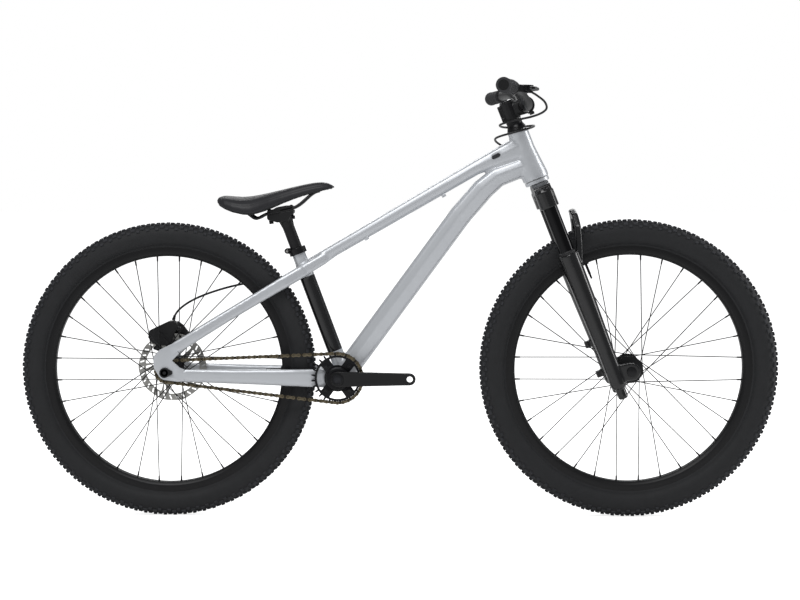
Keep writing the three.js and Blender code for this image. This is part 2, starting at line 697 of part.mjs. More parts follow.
// A rubber plug in the top tube's right flank closes a port that this build doesn't use.
const plugAt = topHead.clone().add(V(-64, 0, -21));
const plugRadius = 4.2;
const plugReach = V(5.5, 0, 2.6);
const plugDepth = 3;
const plugLip = 0.8;
const flank = topSolid(0).intersect(block(plugAt.clone().add(V(-1, -topWidth, -1)), plugAt.clone().add(V(1,
  0, 1))))
  .boundingBox().min[1];
function plugSolid(grow) {
  const [foot, head] = [plugAt.clone().sub(plugReach), plugAt.clone().add(plugReach)];
  const outline = strap([foot.x, foot.z, plugRadius + grow], [head.x, head.z, plugRadius + grow], 6);
  return plate(outline, flank - plugLip - grow * plugRadius, flank + plugDepth + grow);
}
bike.add(piece("port_plug", plugSolid(0), blackRubber));
bike.add(piece("top_tube", cut(topSolid(0), headCutter(seatGap), downSolid(seatGap), seatTubeSolid(seatGap),
  plugSolid(seatGap)), silver));

// Rear stays and dropouts, one of each on either side.
const dropoutInner = rearHubSpacing / 2;
const dropoutPlane = dropoutInner + dropoutThickness / 2;
const chainstayDepth = 29;
const chainstayWidth = 12;
const seatstayDepth = 26.5;
const seatstayWidth = 14;
const stayDrop = 5;
const chainstayShares = [[0, 0, 1, 0.9, 1], [0.14, 0, 1.03, 1.15, 0.95], [0.34, 0, 1.12, 1.5, 0.82],
  [0.55, 0, 1.24, 1.5, 0.69], [0.76, 0, 1.36, 1.25, 0.6], [0.89, 0, 1.46, 1.05, 0.495], [1, 0, 1.5, 1.1,
    0.4]];
const seatstayShares = [[0, 0, 1.03, 0.9, 1], [0.2, 0.002, 0.97, 1, 0.94], [0.42, 0.004, 0.93, 1.1, 0.78],
  [0.62, 0.003, 0.95, 1.1, 0.65], [0.86, 0.001, 1.04, 1, 0.545], [1, 0, 1.05, 1.3, 0.3]];
const staySection = mirrored([[0.55, -1], [1, -0.6], [1, 0.6], [0.55, 1]]);
const chainstayFoot = rearAxle.clone().add(V(27, 0, -6.5));
const chainstayHead = bracket.clone().add(V(-yokeReach * 0.3, 0, -2.5));
const seatstayFoot = rearAxle.clone().add(V(12, 0, 48));
const seatstayHead = onSeatTube(topFootHeight - stayDrop);
const stays = {
  chainstay: (side, grow) => loft(tubeStations(chainstayFoot, chainstayHead,
    chainstayShares.map(([a, b, d, w, out]) => [a, b, d, w, side * out * dropoutPlane]),
    [chainstayDepth, chainstayWidth], grow), staySection),
  seatstay: (side, grow) => loft(tubeStations(seatstayFoot, seatstayHead,
    seatstayShares.map(([a, b, d, w, out]) => [a, b, d, w, side * out * dropoutPlane]),
    [seatstayDepth, seatstayWidth], grow), staySection),
};

// A dropout: a plate from the foot of one stay to the other, slotted for the axle.
const dropoutShares = [[-26, 36], [-25, 11], [-17, -3], [-10.5, -12.6], [-3.3, -16.6], [30, -21], [44, -20],
  [44, 7], [34, 11],
  [16, 27], [33, 44], [18, 66], [-12, 52]];
const axleSlotLength = 12;
function dropoutSolid(side, grow) {
  const [low, high] = side > 0 ? [dropoutInner, dropoutInner + dropoutThickness]
    : [-dropoutInner - dropoutThickness, -dropoutInner];
  const outline = dropoutShares.map(([x, z]) => [rearAxle.x + x, rearAxle.z + z]);
  const slotHigh = rearAxleRadius + seatGap;
  const slot = plate(strap([rearAxle.x, rearAxle.z, slotHigh], [rearAxle.x + axleSlotLength, rearAxle.z,
    slotHigh - 1e-3],
    6), low - overrun, high + overrun);
  return grow ? plate(outline, low - grow, high + grow) : cut(plate(outline, low, high), slot);
}
for (const [word, side] of [["right", -1], ["left", 1]]) {
  const dropout = dropoutSolid(side, seatGap);
  const body = [shellSolid(seatGap), yokeSolid(seatGap), seatTubeSolid(seatGap), topSolid(seatGap)];
  bike.add(piece(`dropout_${word}`, dropoutSolid(side, 0), silver));
  bike.add(piece(`chainstay_${word}`, cut(stays.chainstay(side, 0), dropout, ...body), silver));
  bike.add(piece(`seatstay_${word}`, cut(stays.seatstay(side, 0), dropout, ...body), silver));
}

// Headset: a bearing in each end of the head tube and a cup below it, all still with the frame.
const cupHeight = 9;
const cupSides = 16;
const turnClear = (radius) => (radius + seatGap) / Math.cos(Math.PI / cupSides);
headStand.add(piece("upper_bearing", ringUp(turnClear(steererUpperRadius), upperSeat - seatGap,
  headTubeLength - bearingDepth + seatGap, headTubeLength - seatGap, cupSides), steel));
headStand.add(piece("lower_bearing", ringUp(turnClear(steererLowerRadius), lowerSeat - 2 * seatGap,
  seatGap, bearingDepth - seatGap, cupSides), steel));
headStand.add(piece("lower_cup", ringUp(turnClear(steererLowerRadius), headTubeLowerRadius - overrun,
  -cupHeight, -seatGap, cupSides), silver));

// Bottom bracket cups and the rear axle with its nuts.
for (const [word, side] of [["right", -1], ["left", 1]]) {
  const from = shellWidth / 2 + seatGap;
  const span = [side * from, side * (from + cupWidth)].sort((a, b) => a - b);
  const cup = ring(spindleRadius + seatGap, shellRadius - 1 / 2, ...span, bracketSides);
  const cupStand = stand(bracket);
  cupStand.add(piece(`bracket_cup_${word}`, cup, blackMetal));
}
const nutRadius = 11.5;
const nutWidth = 7;
const axleSides = 20;
const tugReach = 13;
const tugRadius = 4.5;
const rearStand = stand(rearAxle);
const nutFace = dropoutInner + dropoutThickness + seatGap;
const tug = (face, back) => plate(strap([0, 0, nutRadius - 1 / 2], [tugReach, 0, tugRadius], 8), face, back);
const axleBody = turned([[0, -nutFace - nutWidth], [nutRadius, -nutFace - nutWidth], [nutRadius, -nutFace],
  [rearAxleRadius, -nutFace], [rearAxleRadius, nutFace + nutWidth], [0, nutFace + nutWidth]], axleSides);
const axleNut = join(ring(rearAxleRadius + seatGap, nutRadius, nutFace, nutFace + nutWidth, axleSides),
  cut(tug(nutFace, nutFace + nutWidth / 2), bar(V(0, nutFace - overrun, 0), V(0, nutFace + nutWidth, 0),
    rearAxleRadius + seatGap, axleSides)));
rearStand.add(piece("rear_axle", join(axleBody, tug(-nutFace - nutWidth / 2, -nutFace)), blackMetal));
rearStand.add(piece("rear_axle_nut", axleNut, blackMetal));

// Fork. Local axes: Z runs up the steerer from the foot of the head tube, X is ahead of it.
const fork = stand(headFoot, steerTilt);
const lowers = stand(headFoot, steerTilt);
const crownTop = -cupHeight - seatGap;
const crownWeb = 24;
const crownLip = -68;
const legSides = 16;
const topOfStem = headTubeLength + stemRise + 21;
const legTop = -182;
const legFoot = -508;
const stanchionFoot = legFoot + forkTravel + 13;
const crownRound = stanchionRadius + 5.5;
const crownDepth = 20;

// The crown: a forged bridge from socket to socket, with the steerer standing on it.
function crown() {
  const [top, floor] = [crownTop, crownTop - crownWeb];
  const reach = legSpread + crownRound * 0.5;
  const outline = [[0, floor], [legSpread - crownRound, floor - 3], [legSpread - crownRound,
    crownLip + crownRound],
    [legSpread, crownLip + crownRound], [reach, crownLip + crownRound], [reach, floor], [legSpread,
      floor + crownWeb * 0.7],
    [headTubeLowerRadius, top], [0, top]];
  const left = outline.slice(1, -1).reverse().map(([y, z]) => [-y, z]);
  const bridge = crossPlate([...outline, ...left], legLead - crownDepth, legLead + crownDepth);
  const socket = (side) => turnedUp([[0, crownLip], [crownRound, crownLip], [crownRound, floor + 3],
    [crownRound - 5, floor + 10], [0, floor + 10]], legSides, V(legLead, side * legSpread, 0));
  const steerer = turnedUp([[0, floor + 3], [steererLowerRadius, floor + 3], [steererLowerRadius,
    headTubeLength / 4],
    [steererUpperRadius, headTubeLength / 2], [steererUpperRadius, topOfStem - 3], [0, topOfStem - 3]],
      cupSides);
  const bore = (side) => turnedUp([[0, crownLip - overrun], [stanchionRadius + seatGap, crownLip - overrun],
    [stanchionRadius + seatGap, floor + seatGap], [0, floor + seatGap]], legSides, V(legLead,
      side * legSpread, 0));
  return cut(join(bridge, socket(-1), socket(1), steerer), bore(-1), bore(1));
}
fork.add(piece("crown_and_steerer", crown(), blackMetal));
for (const [word, side] of [["right", -1], ["left", 1]]) {
  const tube = turnedUp([[0, stanchionFoot], [stanchionRadius, stanchionFoot],
    [stanchionRadius, crownTop - crownWeb], [0, crownTop - crownWeb]], legSides, V(legLead,
      side * legSpread, 0));
  fork.add(piece(`stanchion_${word}`, tube, stanchionBlack));
}

// The lowers: two legs, each bored for its stanchion, joined by an arch, with axle lugs and brake posts.
const axleLugRadius = 20;
const lugOutside = 12;
const archTop = -101;
const archLead = 50;
const archShares = [[1, 0.36, -214, 0.8], [0.93, 0.7, -168, 1], [0.8, 0.92, -134, 1], [0.55, 1, -110, 0.9],
  [0.25, 1, -102, 0.85]];
const archDeep = 7;
const archWide = 11;
const postSpacing = 74.2;
const postUpper = -404;
const postReach = 33;
const postHalf = 8;
function forkLowers() {
  const leg = (side) => turnedUp([[0, legFoot], [lowerFootRadius - 3, legFoot], [lowerFootRadius,
    legFoot + 8],
    [lowerFootRadius, legFoot + 90], [mix(lowerFootRadius, lowerTopRadius, 0.75), legTop - 110],
    [lowerTopRadius, legTop - 30], [lowerTopRadius, legTop], [0, legTop]], legSides, V(legLead,
      side * legSpread, 0));
  const bore = (side) => turnedUp([[0, legFoot + 8], [stanchionRadius + seatGap, legFoot + 8],
    [stanchionRadius + seatGap, legTop + overrun], [0, legTop + overrun]], legSides, V(legLead,
      side * legSpread, 0));
  const rise = archShares.map(([out, ahead, z, wide]) => [out * legSpread, ahead * archLead, z, wide]);
  const path = [...rise, ...rise.slice().reverse().map(([y, x, z, wide]) => [-y, x, z, wide])];
  const arch = loft(path.map(([y, x, z, wide], i) => {
    const [ay, ax, az] = path[Math.min(i + 1, path.length - 1)];
    const [by, bx, bz] = path[Math.max(i - 1, 0)];
    const way = V(ax - bx, ay - by, az - bz).normalize();
    const front = V(1, 0, 0).addScaledVector(way, -way.x).normalize();
    return { centre: V(x, y, z), across: front.clone().multiplyScalar(archDeep),
      up: way.clone().cross(front).multiplyScalar(archWide * wide) };
  }), [[1, 0.7], [0.7, 1], [-0.7, 1], [-1, 0.7], [-1, -0.7], [-0.7, -1], [0.7, -1], [1, -0.7]]);
  const lug = (side) => {
    const faces = [side * (frontHubSpacing / 2 + seatGap), side * (legSpread + lugOutside)].sort((a,
      b) => a - b);
    return plate(strap([forkOffset, -axleToHeadTube, axleLugRadius],
      [legLead, -axleToHeadTube + 8, lowerFootRadius - 1], 7), ...faces);
  };
  const posts = [postUpper, postUpper - postSpacing].map((z) =>
    block(V(legLead - postReach, legSpread - postHalf, z - postHalf), V(legLead, legSpread + postHalf,
      z + postHalf)));
  const axleHole = bar(V(forkOffset, -frontHubSpacing, -axleToHeadTube), V(forkOffset, frontHubSpacing,
    -axleToHeadTube),
    frontAxleRadius + seatGap, 24);
  const footBolt = (side) => turnedUp([[0, legFoot - 26], [9.5, legFoot - 26], [11.7, legFoot - 22],
    [11.7, legFoot + 1], [0, legFoot + 1]], 12, V(legLead, side * legSpread, 0));
  const body = join(leg(-1), leg(1), arch, lug(-1), lug(1), ...posts, footBolt(-1), footBolt(1));
  return cut(body, bore(-1), bore(1), axleHole);
}
lowers.add(piece("fork_lowers", forkLowers(), blackMetal));
const sealHeight = 8;
for (const [word, side] of [["right", -1], ["left", 1]]) {
  lowers.add(piece(`wiper_seal_${word}`, ringUp(stanchionRadius + seatGap, lowerTopRadius - 3,
    legTop + 3 * seatGap, legTop + sealHeight, legSides, V(legLead, side * legSpread, 0)), blackRubber));
}
const throughAxle = turned([[0, -legSpread - lugOutside - 5], [11, -legSpread - lugOutside - 5],
  [11, -legSpread - lugOutside - seatGap], [frontAxleRadius, -legSpread - lugOutside - seatGap],
  [frontAxleRadius, legSpread + lugOutside], [0, legSpread + lugOutside]], 24);
lowers.add(piece("front_axle", throughAxle.translate([forkOffset, 0, -axleToHeadTube]), blackMetal));

// Stem, spacers and bar. The stem grips the steerer behind and the bar in front of a bolted plate.
const stemHalfWidth = 26;
const stemBore = steererUpperRadius + seatGap;
const barCentre = V(stemReach, 0, headTubeLength + stemRise);
const coverHeight = 14;
const stemFloor = headTubeLength + stemRise - 21;
fork.add(piece("headset_cover", turnedUp([[stemBore, headTubeLength + seatGap], [headTubeUpperRadius,
  headTubeLength + seatGap],
  [headTubeUpperRadius - 1, headTubeLength + 4], [steererUpperRadius + 4, headTubeLength + coverHeight],
  [steererUpperRadius + 4, stemFloor - seatGap], [stemBore, stemFloor - seatGap], [stemBore,
    headTubeLength + seatGap]],
cupSides), blackMetal));
const clampRadius = barClampRadius + 5;
const steererBoss = steererUpperRadius + 4.5;
const stemBoltInset = 8;
const stemBoltLead = 2;
const stemBoltRadius = 3;
const lugHalf = 8;
const lugBehind = 5.5;
const lugAhead = 6;
const lugInset = 2;
function stemBody() {
  const boss = turnedUp([[0, stemFloor], [steererBoss, stemFloor], [steererBoss, topOfStem], [0,
    topOfStem]], cupSides);
  const neck = loft([
    { centre: V(6, 0, barCentre.z), across: V(0, steererBoss - 3, 0), up: V(0, 0, 16) },
    { centre: V(stemReach, 0, barCentre.z), across: V(0, stemHalfWidth, 0), up: V(0, 0, clampRadius - 2) },
  ], [[1, 0.6], [0.7, 1], [-0.7, 1], [-1, 0.6], [-1, -0.6], [-0.7, -1], [0.7, -1], [1, -0.6]]);
  const barHole = bar(barCentre.clone().setY(-barWidth), barCentre.clone().setY(barWidth),
    barClampRadius + seatGap, 24);
  const steererHole = bar(V(0, 0, stemFloor - overrun), V(0, 0, topOfStem + overrun), stemBore, cupSides);
  const slit = block(V(-2 * steererBoss, -1, stemFloor - overrun), V(0, 1, topOfStem + overrun));
  const boltLine = -steererBoss - stemBoltLead;
  const pinchBolts = [topOfStem - stemBoltInset, stemFloor + stemBoltInset].map((z) =>
    bar(V(boltLine, -lugHalf - 1, z), V(boltLine, lugHalf + stemBoltLead, z), stemBoltRadius, 10));
  const lugs = block(V(-steererBoss - lugBehind, -lugHalf, stemFloor + lugInset),
    V(lugAhead - steererBoss, lugHalf, topOfStem - lugInset));
  return join(cut(join(boss, neck, lugs), barHole, steererHole, slit), ...pinchBolts);
}
fork.add(piece("stem_body", stemBody(), blackMetal));
const plateBoltSpread = 18;
const plateBoltFoot = 4;
const plateBoltLength = 9;
const plateBoltRadius = 3.5;
const plateBolts = [[-1, 1], [1, 1], [-1, -1], [1, -1]].map(([side, up]) => {
  const foot = barCentre.clone().add(V(plateBoltFoot, side * plateBoltSpread, up * (clampRadius + 1)));
  return bar(foot, foot.clone().add(V(plateBoltLength, 0, 0)), plateBoltRadius, 10);
});
const facePlate = cut(
  join(plate(arc([barCentre.x, barCentre.z], clampRadius, -80, 80, 8).concat(
    [[barCentre.x + 1, barCentre.z + clampRadius], [barCentre.x + 1, barCentre.z - clampRadius]]),
  -stemHalfWidth, stemHalfWidth), ...plateBolts),
  bar(barCentre.clone().setY(-barWidth), barCentre.clone().setY(barWidth), barClampRadius + 2 * seatGap, 24),
);
fork.add(piece("stem_faceplate", facePlate, blackMetal));
fork.add(piece("top_cap", turnedUp([[0, topOfStem + seatGap], [steererBoss - 1, topOfStem + seatGap],
  [steererBoss - 3, topOfStem + 4], [0, topOfStem + 4]], cupSides), blackMetal));

// Handlebar: thick where it is clamped, bent up and back to slim straight ends.
// Each share row has how far out, back and up the bar has come, and how thick it is there.
const barHalf = barWidth / 2;
const barShares = [[1, 1, 1, 0], [0.42, 0.323, 0.787, 0], [0.36, 0.25, 0.745, 0], [0.28, 0.15, 0.56, 0.1],
  [0.2, 0.05, 0.28, 0.4], [0.13, 0.005, 0.07, 0.9], [0.08, 0, 0, 1]];
const barEnd = (side) => V(stemReach - barSweep, side * barHalf, barCentre.z + barRise);
const barAt = ([out, back, up], side) =>
  V(stemReach - barSweep * back, side * out * barHalf, barCentre.z + barRise * up);
function handlebar() {
  const right = barShares.map((share) => [barAt(share, -1), share[3]]);
  const left = barShares.slice().reverse().map((share) => [barAt(share, 1), share[3]]);
  const path = [...right, ...left];
  return loft(path.map(([centre, share], i) => {
    const ahead = path[Math.min(i + 1, path.length - 1)][0];
    const way = ahead.clone().sub(path[Math.max(i - 1, 0)][0]).normalize();
    const across = V(1, 0, 0).addScaledVector(way, -way.x).normalize();
    const radius = mix(barEndRadius, barClampRadius, share);
    return { centre, across: across.clone().multiplyScalar(radius),
      up: way.clone().cross(across).multiplyScalar(radius) };
  }), roundSection(12));
}
fork.add(piece("handlebar", handlebar(), blackMetal));

// Grips: ribbed rubber sleeves over the straight ends of the bar, closed by a plug.
const gripWall = 2;
const gripFlange = 6;
const barWay = (side) => barEnd(side).sub(barAt(barShares[1], side)).normalize();
const onBar = (side, inward) => barEnd(side).addScaledVector(barWay(side), -inward);
function grip(side) {
  const bore = barEndRadius + seatGap;
  const waist = gripRadius - gripWall;
  const points = [[bore, 0], [gripRadius, 0], [gripRadius, -gripFlange], [waist, -gripFlange - gripWall],
    [waist, gripFlange + gripWall - gripLength], [gripRadius, gripFlange - gripLength], [gripRadius,
      -gripLength],
    [bore, -gripLength], [bore, 0]];
  const shape = new THREE.LatheGeometry(points.map(([r, y]) => new THREE.Vector2(r, y)), 12);
  shape.applyQuaternion(new THREE.Quaternion().setFromUnitVectors(V(0, 1, 0), barWay(side)));
  const end = onBar(side, 0);
  return solid(shape.translate(end.x, end.y, end.z));
}
for (const [word, side] of [["right", -1], ["left", 1]]) {
  fork.add(piece(`grip_${word}`, grip(side), blackRubber));
}

// Brake lever: a master cylinder clamped to the bar inboard of the right grip, and a blade on a pivot.
const leverClampInward = 168;
const leverClampWidth = 14;
const masterRadius = 9;
const masterLead = 26;
const masterLength = 58;
const bladeHalf = 4.5;
const bladeTilt = -26;
const bladeWay = V(Math.cos(bladeTilt * DEG), 0, Math.sin(bladeTilt * DEG));
const leverSquare = V(-Math.sin(bladeTilt * DEG), 0, Math.cos(bladeTilt * DEG));
const leverAt = (inward, ahead, above = 0) =>
  onBar(-1, inward).addScaledVector(bladeWay, ahead).addScaledVector(leverSquare, above);
const pivotInward = 160;
const pivotLead = 40;
const pivotRadius = 3;
const earGap = bladeHalf + seatGap;
const earReach = 5;
const leverPivot = leverAt(pivotInward, pivotLead);
function master() {
  const clamp = cut(
    bar(leverAt(leverClampInward + leverClampWidth / 2, 0), leverAt(leverClampInward - leverClampWidth / 2,
      0),
      gripRadius - 1, 16),
    bar(leverAt(leverClampInward + leverClampWidth, 0), leverAt(leverClampInward - leverClampWidth, 0),
      barEndRadius + seatGap, 16),
  );
  const body = bar(leverAt(pivotInward + masterLength, masterLead), leverAt(pivotInward + 9, masterLead),
    masterRadius, 12);
  const arm = loft([
    { centre: leverAt(leverClampInward, barEndRadius + 3),
      across: barWay(-1).multiplyScalar(leverClampWidth / 2),
      up: leverSquare.clone().multiplyScalar(8) },
    { centre: leverAt(leverClampInward + 4, masterLead),
      across: barWay(-1).multiplyScalar(leverClampWidth / 2),
      up: leverSquare.clone().multiplyScalar(8) },
  ], [[1, 1], [-1, 1], [-1, -1], [1, -1]]);
  const ears = [1, -1].map((up) => loft([
    { centre: leverAt(pivotInward + 22, masterLead, (up * (earGap + 4)) / 1.3),
      across: bladeWay.clone().multiplyScalar(7),
      up: leverSquare.clone().multiplyScalar(2) },
    { centre: leverAt(pivotInward + 8, pivotLead - 4, up * (earGap + 2)),
      across: bladeWay.clone().multiplyScalar(9),
      up: leverSquare.clone().multiplyScalar(2) },
    { centre: leverAt(pivotInward - earReach, pivotLead, up * (earGap + 2)),
      across: bladeWay.clone().multiplyScalar(6),
      up: leverSquare.clone().multiplyScalar(2) },
  ], [[1, 1], [-1, 1], [-1, -1], [1, -1]]));
  const pin = bar(leverAt(pivotInward, pivotLead, -earGap - 3), leverAt(pivotInward, pivotLead, earGap + 3),
    pivotRadius, 12);
  return join(clamp, body, arm, ...ears, pin);
}
fork.add(piece("brake_master_cylinder", master(), blackMetal));

// The blade sweeps out from the pivot, runs along ahead of the grip, and hooks forward at its tip.
const bladeShares = [[0, 0, 6.5, 1], [0.12, 0.14, 6.5, 1], [0.34, 0.3, 6, 0.9], [0.6, 0.27, 5.5, 0.8],
  [0.84, 0.22, 5, 0.75],
  [0.95, 0.3, 5, 0.75], [1, 0.42, 4.5, 0.7]];
const bladeLength = 108;
function leverBlade() {
  const centres = bladeShares.map(([along, ahead]) =>
    leverAt(pivotInward - along * bladeLength, pivotLead + ahead * bladeLength * 0.5));
  const body = loft(bladeShares.map(([, , half, thick], i) => {
    const way = centres[Math.min(i + 1, centres.length - 1)].clone().sub(centres[Math.max(i - 1,
      0)]).normalize();
    return { centre: centres[i], across: way.clone().cross(leverSquare).normalize().multiplyScalar(half),
      up: leverSquare.clone().multiplyScalar(bladeHalf * thick) };
  }), [[1, 0.5], [0.5, 1], [-0.5, 1], [-1, 0.5], [-1, -0.5], [-0.5, -1], [0.5, -1], [1, -0.5]]);
  const knuckle = bar(leverAt(pivotInward, pivotLead, -bladeHalf), leverAt(pivotInward, pivotLead,
    bladeHalf), 7.5, 14);
  const hole = bar(leverAt(pivotInward, pivotLead, -2 * bladeHalf), leverAt(pivotInward, pivotLead,
    2 * bladeHalf),
    pivotRadius + seatGap, 12);
  return cut(join(body, knuckle), hole);
}
fork.add(piece("brake_lever_blade", leverBlade(), blackMetal));

// Seatpost, its collar, the clamp head, the rails and the saddle.
const postFoot = onSeatTube(seatTubeTop - postInsertion);
const postTop = onSeatTube(seatTubeTop + postExposed);
const headRadius = 13;
const collarRadius = seatTubeNeck + 4.5;
const collarSlit = block(V(-3 * collarRadius, -1, -3 * collarRadius), V(0, 1, 3 * collarRadius));
const collarMiddle = onSeatTube(seatTubeTop - collarHeight / 2);
const earWidth = 8;
const pinchRadius = 3.2;
const pinch = collarMiddle.clone().add(V(-collarRadius - pinchRadius, 0, 0));
const ears = plate(strap([pinch.x, pinch.z, 2 * pinchRadius], [collarMiddle.x, collarMiddle.z,
  collarHeight / 2 - 1], 6),
  -earWidth, earWidth);
const collarBand = bar(onSeatTube(seatTubeTop - collarHeight), onSeatTube(seatTubeTop - seatGap),
  collarRadius, 20);
const collar = join(cut(join(collarBand, ears), bar(onSeatTube(0), onSeatTube(2 * seatTubeTop),
  seatTubeNeck + seatGap, 20),
  collarSlit.translate([collarMiddle.x, 0, collarMiddle.z])),
bar(pinch.clone().setY(-earWidth - pinchRadius), pinch.clone().setY(earWidth + 1), pinchRadius, 10));
bike.add(piece("seat_collar", collar, blackMetal));

const saddle = stand(postTop, -saddleTilt * DEG);
const railRadius = 3.5;
const railSpread = 22;
const railRise = 20;
const railFront = 88;
const railRear = -92;
const saddleRear = -144;
const saddleRise = 62;
const clampHalf = 19;
const clampPlate = 7;
const cradle = block(V(-clampHalf, -railSpread - 8, 0), V(clampHalf, railSpread + 8,
  railRise - railRadius - seatGap));
const clampHigh = block(V(-clampHalf, -railSpread - 8, railRise + railRadius + seatGap),
  V(clampHalf, railSpread + 8, railRise + clampPlate));
saddle.updateMatrixWorld(true);
bike.add(piece("seatpost", join(bar(postFoot, postTop, postRadius, 20),
  bar(postTop.clone().setY(-26), postTop.clone().setY(26), headRadius, 16),
  cradle.transform(saddle.matrixWorld.elements)), blackMetal));
saddle.add(piece("saddle_clamp", clampHigh, blackMetal));

// The saddle pad and its shell are lofts from tail to nose; the shell fills the space below the pad.
const padShares = [[0, 0.5, 0.94, 0.3], [0.07, 0.86, 1, 0.62], [0.2, 1, 0.97, 0.9], [0.36, 0.84, 0.87, 0.86],
  [0.52, 0.5, 0.83, 0.66], [0.68, 0.34, 0.86, 0.56], [0.84, 0.27, 0.87, 0.5], [0.95, 0.21, 0.84, 0.42], [1,
    0.1, 0.78, 0.24]];
const padDepth = 27;
const padSection = mirrored([[0.3, -0.62], [0.86, -1], [1, -0.5], [0.84, 0.3], [0.45, 0.86]]);
const saddleStations = (drop, widen, deepen) => padShares.map(([along, wide, high, deep]) => ({
  centre: V(saddleRear + along * saddleLength, 0, high * saddleRise - (deep * padDepth) / 2 - drop),
  across: V(0, ((saddleWidth * wide) / 2) * widen, 0),
  up: V(0, 0, ((deep * padDepth) / 2) * deepen),
}));
saddle.add(piece("saddle_pad", loft(saddleStations(0, 1, 1), padSection), saddleSkin));
const shellStations = saddleStations(padDepth * 0.36, 0.82, 0.5).slice(1, -1);
const shell = cut(loft(shellStations, [[1, -1], [1, 1], [-1, 1], [-1, -1]]), loft(saddleStations(seatGap, 1,
  1), padSection));
saddle.add(piece("saddle_shell", shell, blackPlastic));
const railPoints = [[railRear, 26, 31], [-78, 25, 23], [-50, railSpread, railRise], [0, railSpread, railRise],
  [34, railSpread, railRise], [64, 17, 29], [80, 9, 34.5], [railFront, 0, 36]];
const railPath = [...railPoints, ...railPoints.slice(0, -1).reverse().map(([x, y, z]) => [x, -y, z])];
saddle.add(piece("saddle_rails", cut(hose(railPath, railRadius, 28, 6), loft(
  saddleStations(padDepth * 0.36, 0.82 + seatGap / 30, 0.5 + seatGap / 6).slice(1, -1), [[1, -1], [1, 1],
    [-1, 1], [-1, -1]])),
steel));

// Rear brake: a rotor on the hub's left side, and a caliper that straddles it with a pad on either side.
const rotorHoleRadius = rearHub.capRadius + seatGap;
const rotorArms = 5;
const rotorSides = 32;
function rotor() {
  const [low, high] = [rotorPlane - rotorThickness / 2, rotorPlane + rotorThickness / 2];
  const disc = ring(rotorHoleRadius, rotorRadius, low, high, rotorSides);
  const windows = Array.from({ length: rotorArms }, (_, i) => {
    const middle = (i * 360) / rotorArms;
    const outer = arc([0, 0], rotorRadius * 0.78, middle - 27, middle + 27, 4);
    const inner = arc([0, 0], rotorRadius * 0.36, middle + 14, middle - 20, 2);
    return plate([...outer, ...inner], low - overrun, high + overrun);
  });
  return cut(disc, ...windows);
}
rearWheel.add(piece("brake_rotor", rotor(), steel));

const padThickness = 4;
const padClear = 0.5;
const padHalf = 13;
const padHeight = 19;
const caliperInner = 38.5;
const caliperOuter = 63.5;
const caliperSlot = rotorThickness / 2 + padClear + padThickness + seatGap;
const caliperOutline = [[-55, 70], [-46, 57], [-36, 52], [-10, 50], [2, 60], [4, 76], [16, 92], [13, 103],
  [6, 108], [-6, 108],
  [-40, 92], [-52, 86]];
const caliperLean = -15;
const brake = stand(rearAxle, caliperLean * DEG);
const caliper = cut(plate(caliperOutline, caliperInner, caliperOuter),
  block(V(-60, rotorPlane - caliperSlot, 0), V(60, rotorPlane + caliperSlot, rotorRadius + 3)));
for (const [word, side] of [["inner", -1], ["outer", 1]]) {
  const near = rotorPlane + side * (rotorThickness / 2 + padClear);
  const faces = [near, near + side * padThickness].sort((a, b) => a - b);
  brake.add(piece(`brake_pad_${word}`, block(V(-padHalf, faces[0], rotorRadius - padHeight),
    V(padHalf, faces[1], rotorRadius + 1)), steel));
}
const bracketOutline = [[-47, 40], [-20, 30], [10, 52], [24, 50], [40, 76], [24, 97], [12, 106], [2, 104],
  [-4, 84], [-14, 62],
  [-30, 62], [-44, 56]].map(([x, z]) =>
  [rearAxle.x + x, rearAxle.z + z]);
const mount = cut(plate(bracketOutline, caliperOuter - 1, dropoutInner + dropoutThickness - 2),
  stays.seatstay(1, seatGap), dropoutSolid(1, seatGap));
bike.add(piece("brake_caliper", join(caliper.translate([rearAxle.x, 0, rearAxle.z]), mount), blackMetal));

// Brake hoses. Their points follow the route by hand.
const hoseRadius = 2.5;
// A hand-laid route whose ends are carried to two places. The points up to the lead share in both shifts.
function laid(points, from, to, lead) {
  const [first, last] = [from.clone().sub(V(...points[0])), to.clone().sub(V(...points.at(-1)))];
  return points.map((point, i) => {
    const share = Math.min(1, i / lead);
    return V(...point).addScaledVector(first, 1 - share).addScaledVector(last, share).toArray();
  });
}
const caliperPortLead = 3;
const caliperPortRise = 109.1;
const caliperPort = rearAxle.clone().add(V(caliperPortLead, rotorPlane - 1, caliperPortRise));
const stayPortShare = 0.31;
const stayPortSide = 46;
const stayPortRise = 20.1;
const stayPort = seatstayHead.clone().lerp(seatstayFoot, stayPortShare).add(V(0, stayPortSide, stayPortRise));
const rearHosePoints = [[-529, 51, 448.1], [-526, 52, 457], [-516, 56, 471], [-494, 60, 487], [-462, 61, 502],
  [-420, 58, 516], [-380, 53, 526], [-345, 49, 531], [-322, 47, 530], [-309, 46, 526.5]];
const rearRoute = laid(rearHosePoints, caliperPort, stayPort, rearHosePoints.length - 1);
bike.add(piece("rear_hose", hose(rearRoute, hoseRadius, 24, 8), blackPlastic));

